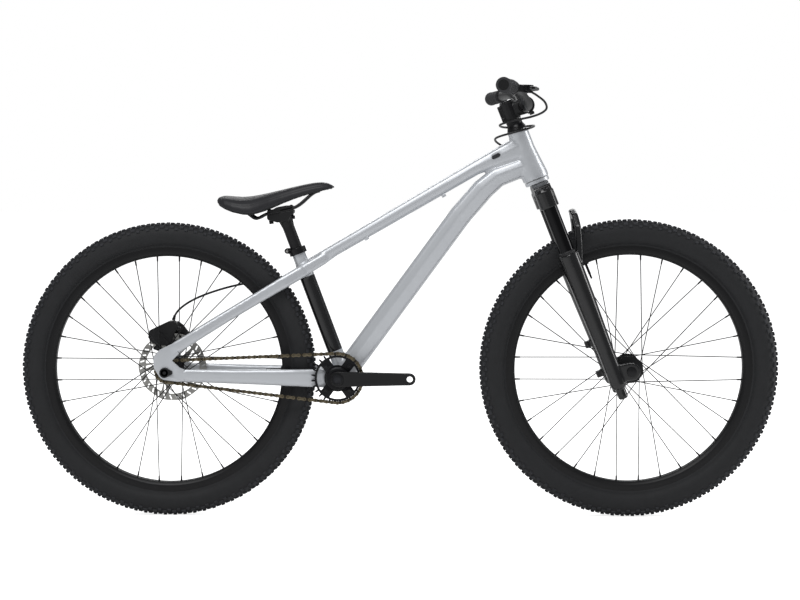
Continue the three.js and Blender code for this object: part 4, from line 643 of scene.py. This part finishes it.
roller = rods((-across * inner_face, across * inner_face, roller_radius, roller_radius, 20))
put("chain_rollers", repeated(roller, pin_places, dark_bronze), "frame", "chain_steel", dark_bronze, "chain")

# The sprockets: a machined chainring with four windows, bolted through to the crank, and a 12 tooth cog
# on its driver. Teeth are cut to the chain and their tips are chamfered.
tooth_tip, tooth_foot = 0.0036, 0.0042
sprocket_black = finish("black_anodised_sprocket", "202023", "141416", 0.6, 0.3, 0.45, 0.8, 0.02)
cog_steel = finish("nickel_plated_cog", "8d8a85", "6a6762", 0.95, 0.25, 0.4, 0.7, 0.01)


def toothed(teeth, phase):
    """The outline of a sprocket, its teeth between the rollers from a phase on."""
    radius = pitch / (2 * sin(pi / teeth))
    half_tooth = pitch / 2 - roller_radius - 0.0003
    shape = [
        (radius - tooth_foot, half_tooth), (radius - 0.0024, half_tooth), (radius, half_tooth * 0.93),
        (radius + 0.002, half_tooth * 0.75), (radius + tooth_tip, 0.001)]
    points = []
    for i in range(teeth):
        middle = phase + (i + 0.5) * 2 * pi / teeth
        points += [(r * cos(middle - w / r), r * sin(middle - w / r)) for r, w in shape]
        points += [(r * cos(middle + w / r), r * sin(middle + w / r)) for r, w in reversed(shape)]
    return points


def pin_angle(distance):
    """The angle of the pin nearest to a distance along the loop."""
    return loop_place(round(distance / link_step) * link_step)[1]


def softened(points, rounding):
    """The outline with each corner cut back and rounded."""
    made = []
    for i, here in enumerate(points):
        before, after = points[i - 1], points[(i + 1) % len(points)]
        a, b = (Vector(before) - Vector(here)), (Vector(after) - Vector(here))
        if a.angle(b) > radians(160):
            made.append(here)
            continue
        reach_a, reach_b = min(rounding, a.length * 0.45), min(rounding, b.length * 0.45)
        start, stop = Vector(here) + a.normalized() * reach_a, Vector(here) + b.normalized() * reach_b
        for t in (0, 0.25, 0.5, 0.75, 1):
            p = start * (1 - t) ** 2 + Vector(here) * 2 * t * (1 - t) + stop * t * t
            made.append((p.x, p.y))
    return made


# The windows between the arms: trapezoids with bowed ends, given as (middle, half their spread) in degrees.
window_outer, window_inner, window_share = 0.0475, 0.0305, 0.74
ring_windows = []
for middle, wide in ((0, 37), (90, 24), (180, 37), (270, 24)):
    bow = sweep(window_outer, middle + wide, middle - wide, 12)
    bow += sweep(window_inner, middle - wide * window_share, middle + wide * window_share, 8)
    ring_windows.append(softened(bow, 0.004))
ring_outline = toothed(ring_teeth, pin_angle(span + ring_wrap * ring_pitch_radius / 2))
ring_plate = sheet([ring_outline, *ring_windows, sweep(0.0152, 0, 355, 71)[::-1]], 0.0022, 0.0004)
spider = [
    (0.0149, -0.0614), (0.0235, -0.0614), (0.0262, -0.0595), (0.0268, -0.056), (0.0268, -0.0503),
    (0.0149, -0.0503)]
bolt_ends = [
    [circle_place(across * out, 0.0385, radians(a)) for out in (-0.0528, -0.0502)]
    for a in (45, 135, 225, 315)]
arm_bolts = rods(*[(*ends, 0.0044, 0.0048, 20) for ends in bolt_ends])
ring_mesh = merged((ring_plate, chain_line * across), (revolved(spider, Vector(), 96), Vector()))
ring_mesh.transform(Matrix.Translation(bracket))
arm_bolts.transform(Matrix.Translation(bracket))
put("chainring_plate", ring_mesh, "cranks", "black_metal", sprocket_black, "chainring")
put("chainring_bolts", eased(arm_bolts, 0.0004), "cranks", "black_metal", hub_black, "chainring")

driver = [(0.0054, -0.067), (0.0125, -0.067), (0.0138, -0.0655), (0.0138, -0.0384), (0.0054, -0.0384)]
cog_outline = toothed(cog_teeth, pin_angle(loop - cog_wrap * cog_pitch_radius / 2))
cog_plate = sheet([cog_outline, sweep(0.0132, 0, 350, 35)[::-1]], 0.0022, 0.0003)
cog_mesh = merged((cog_plate, chain_line * across), (revolved(driver, Vector(), 64), Vector()))
cog_mesh.transform(Matrix.Translation(rear_axle))
put("drive_cog_finish", cog_mesh, "cog", "steel", cog_steel, "drive_cog")

# The cranks, the rotor and the rear axle: forged arms with softened edges on a hollow steel spindle, a
# drilled stainless rotor with a waved rim, and the bolted axle with its chain tugs.
def put_cast(name, solid, voxel, passes, body, material):
    """A cast or forged piece: its solid with rounded edges."""
    return put(name, recast(copied([solid]), voxel, passes), body, "black_metal", material, solid)


forged_black = finish("matt_black_forging", "161618", "111113", 0.2, 0.38, 0.52, 1.1, 0.02)
steel_bright = finish("brushed_stainless", "c2c1bd", "a3a29e", 1.0, 0.25, 0.38, 0.8, 0.01, cloud_mm=18)
for name in ("crank_right", "crank_left_and_spindle"):
    put_cast(name + "_forging", name, 0.0009, 6, "cranks", forged_black)
turned(
    "spindle_lip", bracket, "cranks", "black_metal", hub_black, "crank_left_and_spindle",
    [(10.6, -77.3), (12.8, -77.3), (14.2, -76.8), (14.2, -75.5), (10.6, -75.5)], 64)
turned(
    "spindle_plug", bracket, "cranks", "rubber", lug_rubber, "crank_left_and_spindle",
    [(0, -72.2), (10.9, -72.2), (10.9, -70.2), (0, -70.2)], 48)

rotor_plane, rotor_radius, rotor_waves, wave_height = 0.052, 0.080, 10, 0.0007
slot_inner, slot_outer, slot_half, slot_lean = 0.0675, 0.0765, 0.0016, 0.07
rotor_rim = []
for i in range(240):
    t = 2 * pi * i / 240
    reach = rotor_radius - wave_height + wave_height * cos(rotor_waves * t)
    rotor_rim.append((reach * cos(t), reach * sin(t)))
rotor_holes = [sweep(0.0163, 0, 350, 35)[::-1]]


def polar(radius, degrees):
    """One point of the rotor's plane."""
    return sweep(radius, degrees, 0, 1)[0]


for i in range(5):
    middle = 72 * i
    window = sweep(0.0635, middle + 29, middle - 27, 10) + sweep(0.027, middle - 22, middle + 14, 5)
    slit = [polar(0.0625, middle + 40), polar(0.035, middle + 22), polar(0.0625, middle + 34)]
    rotor_holes += [softened(window, 0.004), softened(slit, 0.002)]
for i in range(30):
    t = radians(12 * i)
    low = Vector((cos(t), sin(t))) * slot_inner
    high = Vector((cos(t + slot_lean), sin(t + slot_lean))) * slot_outer
    side = (high - low).normalized().orthogonal() * slot_half
    corners = [tuple(low + side), tuple(low - side), tuple(high - side), tuple(high + side)]
    rotor_holes.append(softened(corners, 0.0013))
rotor_holes = [
    hole if sum(a[0] * b[1] - b[0] * a[1] for a, b in zip(hole, hole[1:] + hole[:1])) < 0 else hole[::-1]
    for hole in rotor_holes]
rotor_mesh = sheet([rotor_rim, *rotor_holes], 0.0018, 0.0002)
rotor_mesh.transform(Matrix.Translation(rear_axle + across * rotor_plane))
put("rotor_disc", rotor_mesh, "rear_wheel", "steel", steel_bright, "brake_rotor")

tug_outer, tug_inner, socket_depth, socket_radius = 0.0828, 0.0758, 0.004, 0.0042
for name, side in (("rear_axle", -1), ("rear_axle_nut", 1)):
    head = [
        (0.0, side * tug_outer), (0.0085, side * tug_outer), (0.0108, side * (tug_outer - 0.0012)),
        (0.0114, side * (tug_outer - 0.003)), (0.0114, side * tug_inner), (0.0, side * tug_inner)]
    floor_place, mouth = (rear_axle + across * side * (tug_outer + out) for out in (-socket_depth, 0.002))
    head_mesh = reamed(
        revolved(head, rear_axle, 64), rods((floor_place, mouth, socket_radius, socket_radius, 6)))
    put(name + "_head", head_mesh, "frame", "black_metal", hub_black, name)
    tug = eased(copied([name]), 0.0008, 2, sharp_angle)
    put(name + "_body", tug, "frame", "black_metal", forged_black, name)

# The headset and bottom bracket cups: turned rings pressed or threaded into the frame.
bearing_steel = finish("bearing_steel", "9a9a98", "7e7e7c", 1.0, 0.2, 0.3, 0.6, 0.005)
for name in ("upper_bearing", "lower_bearing"):
    put(name + "_race", copied([name]), "frame", "steel", bearing_steel, name)
turned(
    "lower_cup_ring", steer_foot, "frame", "silver_paint", silver, "lower_cup",
    [(20.2, -9), (26.8, -9), (28.3, -7.8), (28.4, -0.4), (20.2, -0.4)], axis=steer_up)
for name, side in (("bracket_cup_right", -1), ("bracket_cup_left", 1)):
    ring = [(14.9, 36.8), (21.9, 36.8), (21.9, 44.5), (20.8, 45.7), (14.9, 45.7)]
    turned(name + "_ring", bracket, "frame", "black_metal", hub_black, name, [(r, side * y) for r, y in ring])

put("port_plug_rubber", eased(copied(["port_plug"]), 0.0005), "frame", "rubber", lug_rubber, "port_plug")
guide_profile = [(2.7, -5), (4.4, -5), (4.7, -4.5), (4.7, 4.5), (4.4, 5), (2.7, 5)]
tube_way = Vector((0.86, 0, 0.51)).normalized()
for number, place in (1, (-0.075, -0.008, 0.643)), (2, (0.1015, -0.008, 0.7415)):
    turned(
        f"hose_guide_{number}", Vector(place), "frame", "silver_paint", silver, "top_tube", guide_profile, 32,
        tube_way)

# The fork: a forged crown on a tapered steerer, black coated stanchions, and one-piece cast lowers with
# an arch, painted gloss black. The lowers slide on the stanchions through dust wipers.
leg_spread, leg_lead = 0.065, 0.002
stanchion_radius, stanchion_foot, crown_floor = 0.017, -0.395, -0.0333
lowers_gloss = finish(
    "gloss_black_paint", "0f0f11", "0c0c0e", 0.0, 0.2, 0.28, 2.5, 0.01, coat=0.4, coat_gloss=0.08)
stanchion_coat = finish("black_hard_coat", "101013", "0b0b0d", 0.6, 0.1, 0.16, 0.5, 0.002)
wiper_rubber = finish("wiper_rubber", "19191b", "131315", 0.0, 0.5, 0.62, 0.9, 0.01)


def on_fork(ahead, left, up):
    """A place given from the foot of the steering axis: ahead of it, to the left, and up along it."""
    return steer_foot + steer_front * ahead + across * left + steer_up * up


put_cast("crown_forging", "crown_and_steerer", 0.0013, 6, "steering", lowers_gloss)
lowers_parts = [(copied(["fork_lowers"]), Vector())]
for word, side in (("right", -1), ("left", 1)):
    leg = on_fork(leg_lead, side * leg_spread, 0)
    sleeve = [
        (0.0, stanchion_foot), (stanchion_radius, stanchion_foot), (stanchion_radius, crown_floor),
        (0.0, crown_floor)]
    put(
        f"stanchion_tube_{word}", revolved(sleeve, leg, 72, axis=steer_up), "steering", "stanchion",
        stanchion_coat, f"stanchion_{word}")
    wiper = [
        (17.3, -181.8), (20.3, -181.8), (20.5, -180.5), (19.8, -179.2), (20, -176.5), (18.6, -174.2),
        (17.3, -173.9)]
    turned(
        f"wiper_lip_{word}", leg, "fork_lowers", "rubber", wiper_rubber, f"wiper_seal_{word}", wiper, 72,
        steer_up)
    cast_leg = [
        (0.0174, -0.499), (0.0174, -0.182), (0.0233, -0.182), (0.0234, -0.212), (0.02235, -0.292),
        (0.0189, -0.418), (0.0189, -0.5), (0.016, -0.5078), (0.0, -0.5078), (0.0, -0.499)]
    lowers_parts.append((revolved(cast_leg, leg, 72, axis=steer_up), Vector()))
put(
    "fork_lowers_casting", recast(merged(*lowers_parts), 0.0017, 5), "fork_lowers", "gloss_black",
    lowers_gloss, "fork_lowers")
put(
    "front_axle_bolt", eased(copied(["front_axle"]), 0.0008, 2, sharp_angle), "fork_lowers", "black_metal",
    hub_black, "front_axle")

# The cockpit: a forged stem with a bolted faceplate, a swept tubular bar, ribbed rubber grips with plain
# ends, and a small master cylinder with a one-finger lever. All but the grips are black alloy.
bar_centre = (0.037, 0, 0.167)
bar_half, bar_sweep, bar_rise = 0.380, 0.049, 0.051
bar_shares = [
    (1, 1, 1, 0), (0.7, 0.662, 0.894, 0), (0.42, 0.323, 0.787, 0), (0.39, 0.288, 0.77, 0),
    (0.36, 0.25, 0.745, 0), (0.32, 0.198, 0.665, 0.03), (0.28, 0.15, 0.56, 0.1), (0.24, 0.098, 0.42, 0.22),
    (0.2, 0.05, 0.28, 0.4), (0.165, 0.02, 0.155, 0.68), (0.13, 0.005, 0.07, 0.9), (0.105, 0.001, 0.02, 0.98),
    (0.08, 0, 0, 1)]
bar_end_radius, bar_clamp_radius = 0.0111, 0.0159
satin_black = finish("satin_black_bar", "151517", "101012", 0.2, 0.3, 0.42, 0.9, 0.01)
grip_rubber = finish("grip_rubber", "303033", "232326", 0.0, 0.55, 0.7, 1.2, 0.03)


def tube(path, sides=40):
    """A round bar through (centre, radius) points, with closed ends."""
    work = bmesh.new()
    rows = []
    first = None
    for i, (centre, radius) in enumerate(path):
        way = (path[min(i + 1, len(path) - 1)][0] - path[max(i - 1, 0)][0]).normalized()
        first = (first - way * first.dot(way)).normalized() if rows else way.orthogonal().normalized()
        second = way.cross(first)
        turns = [2 * pi * j / sides for j in range(sides)]
        rows.append([work.verts.new(centre + (first * cos(a) + second * sin(a)) * radius) for a in turns])
    skin(work, rows)
    work.faces.new(rows[0][::-1])
    work.faces.new(rows[-1])
    bmesh.ops.recalc_face_normals(work, faces=work.faces)
    return baked(work, "tube")


def bar_at(share, side):
    """The middle of the bar at one of its stations."""
    out, back, up = share[:3]
    return on_fork(bar_centre[0] - bar_sweep * back, side * out * bar_half, bar_centre[2] + bar_rise * up)


bar_way = {side: (bar_at(bar_shares[0], side) - bar_at(bar_shares[2], side)).normalized() for side in (-1, 1)}
spine = [(bar_at(share, -1), share[3]) for share in bar_shares]
spine += [(bar_at(share, 1), share[3]) for share in reversed(bar_shares)]
bar_mesh = tube(
    [(place, bar_end_radius + (bar_clamp_radius - bar_end_radius) * thick) for place, thick in spine])
put("handlebar_tube", bar_mesh, "steering", "black_metal", satin_black, "handlebar")

grip_radius, grip_length, ribs = 0.0165, 0.132, 26
for word, side in (("right", -1), ("left", 1)):
    inner, valley = bar_end_radius + 0.0002, grip_radius - 0.0019
    outline = [
        (inner, 0.0), (grip_radius - 0.0012, 0.0), (grip_radius, -0.0012), (grip_radius, -0.0052),
        (grip_radius - 0.0008, -0.006)]
    rib_step = (grip_length - 0.014) / ribs
    for i in range(ribs):
        near = -0.007 - i * rib_step
        outline += [
            (valley, near), (valley, near - rib_step * 0.35), (grip_radius - 0.0007, near - rib_step * 0.5),
            (grip_radius - 0.0007, near - rib_step * 0.85)]
    outline += [
        (valley, 0.007 - grip_length), (grip_radius - 0.0008, 0.006 - grip_length),
        (grip_radius, 0.0052 - grip_length), (grip_radius, 0.0012 - grip_length),
        (grip_radius - 0.0012, -grip_length), (inner, -grip_length)]
    put(
        f"grip_sleeve_{word}", revolved(outline, bar_at(bar_shares[0], side), 72, axis=bar_way[side]),
        "steering", "rubber", grip_rubber, f"grip_{word}")
    bung = [(0, -4), (7.2, -4), (7.8, -1.2), (10.4, -0.6), (10.9, -1.2), (10.9, -6), (0, -6)]
    turned(
        f"bar_plug_{word}", bar_at(bar_shares[0], side), "steering", "rubber", lug_rubber, f"grip_{word}",
        bung, 48, bar_way[side])

put_cast("stem_forging", "stem_body", 0.0008, 5, "steering", satin_black)
put_cast("faceplate_forging", "stem_faceplate", 0.0007, 5, "steering", satin_black)
cover = [
    (14.7, 120.4), (23.2, 120.4), (23.8, 121.1), (23.8, 121.6), (22.9, 124), (21.3, 128.2), (19.4, 132.2),
    (18.2, 134.2), (18.2, 138.6), (17.9, 138.9), (17.9, 139.2), (18.2, 139.5), (18.2, 145.4), (14.7, 145.4)]
turned(
    "headset_cover_ring", steer_foot, "steering", "black_metal", hub_black, "headset_cover", cover,
    axis=steer_up)
cap = [
    (0, 188.5), (17.6, 188.5), (17.6, 189.3), (15.7, 191.7), (14.8, 191.9), (6.2, 191.9), (5.6, 190.9),
    (4.4, 190.7), (2.8, 190.7), (2.6, 189.3), (0, 189.3)]
turned("stem_cap", steer_foot, "steering", "black_metal", hub_black, "top_cap", cap, 72, steer_up)
put_cast("master_cylinder_body", "brake_master_cylinder", 0.0007, 5, "steering", forged_black)
put_cast("lever_blade_forging", "brake_lever_blade", 0.0006, 5, "brake_lever", satin_black)

# The hydraulic hoses: smooth black nylon, each with a ferrule where it leaves the brake. The front one hangs
# in a loop from the lever, follows the bar and runs between steering and frame.
hose_nylon = finish("black_nylon_hose", "161618", "121214", 0.0, 0.3, 0.42, 1.4, 0.01)
hose_radius = 0.0025


def strand(points, radius=hose_radius, steps=8):
    """A smooth hose or wire through points."""
    path = []
    for i in range(len(points) - 1):
        before, here, there = points[max(i - 1, 0)], points[i], points[i + 1]
        after = points[min(i + 2, len(points) - 1)]
        for j in range(steps):
            t = j / steps
            path.append(
                (here * 2 + (there - before) * t + (before * 2 - here * 5 + there * 4 - after) * t * t
                + (here * 3 - before - there * 3 + after) * t ** 3) / 2)
    return tube([(place, radius) for place in [*path, points[-1]]], 16)


def ferrule(start, toward, length, radius):
    """The end fitting of a hose: a hexagon nut and a crimped sleeve."""
    way = (toward - start).normalized()
    return rods(
        (start, start + way * length * 0.45, radius, radius, 6),
        (start + way * length * 0.45, start + way * length * 0.5, radius, radius * 0.8, 24),
        (start + way * length * 0.5, start + way * length, radius * 0.8, radius * 0.76, 24))


front_route = [
    (283.1, -164.4, 975.2), (285.1, -151.7, 975.2), (293, -142, 971), (308, -138, 962), (324, -133, 949),
    (329, -118, 935), (318, -97, 925), (298, -70, 918), (278, -46, 914), (256, -34, 909), (236, -18, 904),
    (230, 2, 900), (238, 24, 897), (260, 36, 896), (284, 30, 898), (303, 14, 900), (308, -6, 899),
    (298, -27, 894), (276, -37, 888), (250, -35, 881), (229, -22, 875), (220, 0, 870), (222, 20, 864),
    (232, 30, 857), (241, 31, 850), (247, 27, 844), (249.5, 23.6, 840.5)]
front_path = [Vector(point) / 1000 for point in front_route]
front_hose = put("front_hose_line", strand(front_path), None, "rubber", hose_nylon, "front_hose")
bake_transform(front_hose)
put(
    "master_hose_nut", eased(ferrule(front_path[0], front_path[1], 0.013, 0.0042), 0.0003), "steering",
    "black_metal", hub_black, "brake_master_cylinder")

# The seat: a split collar with a pinch bolt, a forged post with a two-bolt clamp, bent steel rails, and a
# slim saddle with a moulded shell and a padded cover of dark synthetic leather.
saddle_tilt = radians(8.5)
post_top, post_foot = 0.397, 0.179
saddle_place = Matrix.Translation(seat_foot + seat_way * post_top) @ Matrix.Rotation(-saddle_tilt, 4, "Y")
rail_radius = 0.0035

put_cast("collar_band", "seat_collar", 0.0007, 4, "frame", hub_black)
pinch = seat_foot + seat_way * 0.3085 + Vector((-0.0235, 0, 0))
pinch_head = rods((pinch - across * 0.0134, pinch - across * 0.0106, 0.0029, 0.0029, 32))
put("collar_bolt_head", eased(pinch_head, 0.0004), "frame", "black_metal", steel_bright, "seat_collar")

cradle_line = [
    (-0.037, 0.0045), (-0.038, -0.003), (-0.035, -0.0075), (-0.027, -0.010), (-0.016, -0.015),
    (0.010, -0.015), (0.018, -0.002), (0.024, 0.0), (0.025, 0.0085), (-0.034, 0.006)]
cradle = sheet([softened(cradle_line, 0.002)], 0.050, 0.001)
cradle.transform(saddle_place)
foot, head = seat_foot + seat_way * post_foot, seat_foot + seat_way * post_top
shaft = rods(
    (foot, seat_foot + seat_way * 0.368, 0.0136, 0.0136, 64),
    (seat_foot + seat_way * 0.3675, head, 0.0136, 0.0185, 64))
post_mesh = recast(merged((shaft, Vector()), (cradle, Vector())), 0.0009, 6)
put("seatpost_forging", post_mesh, "seatpost", "black_metal", forged_black, "seatpost")
cap_line = [
    (-0.036, 0.0112), (-0.030, 0.0116), (-0.026, 0.0094), (-0.006, 0.0104), (-0.002, 0.0132), (0.022, 0.0148),
    (0.024, 0.0172), (0.016, 0.0192), (0.006, 0.0205), (-0.012, 0.0198), (-0.020, 0.0168), (-0.034, 0.0155)]
clamp_cap = sheet([softened(cap_line, 0.0014)], 0.058, 0.0008)
clamp_cap.transform(saddle_place)
put("saddle_clamp_cap", clamp_cap, "seatpost", "black_metal", forged_black, "saddle_clamp")
bolts = []
for along, low, high in ((0.0195, -0.0125, 0.0165), (-0.0312, -0.0165, 0.0142)):
    top, knob, base = (saddle_place @ Vector((along, 0, height)) for height in (high, low + 0.008, low))
    bolts += [
        (base, knob, 0.0052, 0.0052, 24), (knob, top, 0.0026, 0.0026, 20),
        (top - across * 0.011, top + across * 0.011, 0.0042, 0.0042, 20)]
put("saddle_clamp_bolts", eased(rods(*bolts), 0.0005), "seatpost", "black_metal", hub_black, "saddle_clamp")

rail_line = [
    (-92, 26, 25), (-84, 25.6, 19), (-76, 25, 12.5), (-69, 24.2, 5), (-62, 23.4, 1.4), (-54, 22.6, 2.6),
    (-44, 22, 6.4), (-34, 22, 8.2), (0, 22, 10), (20, 22, 11.8), (32, 21.6, 14.6), (45, 20, 21),
    (58, 17, 29.5), (70, 13, 37), (80, 8, 41), (88, 0, 42)]
rail_line += [(x, -y, z) for x, y, z in rail_line[-2::-1]]
rail_path = [saddle_place @ (Vector(place) / 1000) for place in rail_line]
put(
    "saddle_rail_wire", strand(rail_path, rail_radius, 6), "seatpost", "black_metal", satin_black,
    "saddle_rails")
shell_plastic = finish("moulded_shell_plastic", "131315", "0f0f11", 0.0, 0.4, 0.55, 1.2, 0.03)
cover_hide = finish("synthetic_leather_cover", "232327", "1b1b1f", 0.0, 0.42, 0.56, 1.3, 0.05)
# Stations of the saddle from tail to nose: along, crest, lowest edge and half width, in millimetres.
stations = [
    (-146, 56, 50, 18), (-141, 62, 44, 36), (-128, 64, 35, 52), (-110, 60, 25, 61), (-88, 55, 17, 66.5),
    (-68, 53.5, 13, 65), (-48, 53.8, 16, 57), (-25, 55.3, 21, 45), (0, 57.5, 27.5, 34.5),
    (28, 60, 33.5, 26.5), (55, 62, 38, 22.5), (78, 63, 40.5, 20), (98, 61.5, 42.3, 17),
    (111, 57.5, 42.8, 13.5), (120, 51.5, 43, 9), (125, 47, 43.5, 4)]


def saddle_loft(half_section, first, last, voxel, passes):
    """A body through the saddle's stations. The half section's points are shares of width and depth."""
    work = bmesh.new()
    section = half_section + [(-out, deep) for out, deep in reversed(half_section) if out]
    rows = []
    for along, crest, low, wide in stations[first:last]:
        points = [Vector((along, out * wide, crest - deep * (crest - low))) for out, deep in section]
        rows.append([work.verts.new(saddle_place @ (point / 1000)) for point in points])
    skin(work, rows)
    work.faces.new(rows[0])
    work.faces.new(rows[-1][::-1])
    bmesh.ops.recalc_face_normals(work, faces=work.faces)
    return recast(baked(work, "saddle_loft"), voxel, passes)


shell_half = [(0, 0.5), (0.7, 0.66), (0.93, 0.86), (0.94, 1.06), (0.84, 1.05), (0.72, 0.86), (0, 0.68)]
shell_mesh = saddle_loft(shell_half, 1, -1, 0.0016, 3)
put("saddle_shell_moulding", shell_mesh, "seatpost", "saddle_plastic", shell_plastic, "saddle_shell")
pad_half = [
    (0, 0.02), (0.1, 0), (0.3, 0.02), (0.55, 0.09), (0.75, 0.22), (0.9, 0.42), (0.98, 0.66), (1, 0.86),
    (0.985, 1), (0.93, 0.99), (0.8, 0.78), (0.5, 0.62), (0, 0.56)]
pad_mesh = saddle_loft(pad_half, 0, None, 0.0014, 26)
seam_half_mm, seam_clear_mm, seam_depth = 1.7, 3, 0.0006
back = saddle_place.inverted()
for vertex in pad_mesh.vertices:
    place = (back @ vertex.co) * 1000
    (a, crest_a, low_a, _), (b, crest_b, low_b, _) = next(
        (pair for pair in zip(stations, stations[1:]) if place.x < pair[1][0]), stations[-2:])
    t = (place.x - a) / (b - a)
    crest, low = crest_a + (crest_b - crest_a) * t, low_a + (low_b - low_a) * t
    off_seam = abs(crest - place.z - 0.5 * (crest - low))
    if off_seam < seam_half_mm and place.z > low + seam_clear_mm:
        vertex.co -= vertex.normal * seam_depth * cos(off_seam / seam_half_mm * pi / 2) ** 2
pad = put("saddle_cover", pad_mesh, "seatpost", "saddle_skin", cover_hide, "saddle_pad")

# The rear brake: a two-piston caliper bolted to the frame, its two pads, and the hose that runs from it
# along the left seat stay.
put_cast("caliper_forging", "brake_caliper", 0.0008, 5, "frame", forged_black)
bolts = []
for ahead, up in ((0.017, 0.090), (-0.032, 0.048)):
    near, far = rear_axle + Vector((ahead, 0.0368, up)), rear_axle + Vector((ahead, 0.0655, up))
    bolts.append((near, far, 0.0046, 0.0046, 24))
put("caliper_bolts", eased(rods(*bolts), 0.0005), "frame", "black_metal", hub_black, "brake_caliper")
pad_backing = finish("brake_pad_steel", "6d6a66", "56534f", 0.8, 0.35, 0.5, 0.8, 0.01)
for word in ("inner", "outer"):
    put(
        f"brake_pad_plate_{word}", eased(copied([f"brake_pad_{word}"]), 0.0005), f"brake_pad_{word}", "steel",
        pad_backing, f"brake_pad_{word}")
rear_route = [
    (-529, 51, 448.1), (-526.3, 52, 457.7), (-516.5, 56, 472.4), (-494.8, 60, 489.2), (-463.1, 61, 504.9),
    (-421.3, 58, 519.6), (-381.6, 53, 530.3), (-346.9, 49, 536.1), (-324.1, 47, 535.8), (-311.4, 46, 533)]
rear_path = [Vector(point) / 1000 for point in rear_route]
put("rear_hose_line", strand(rear_path), "frame", "rubber", hose_nylon, "rear_hose")
put(
    "caliper_hose_nut", eased(ferrule(rear_path[0], rear_path[1], 0.012, 0.0042), 0.0003), "frame",
    "black_metal", hub_black, "brake_caliper")
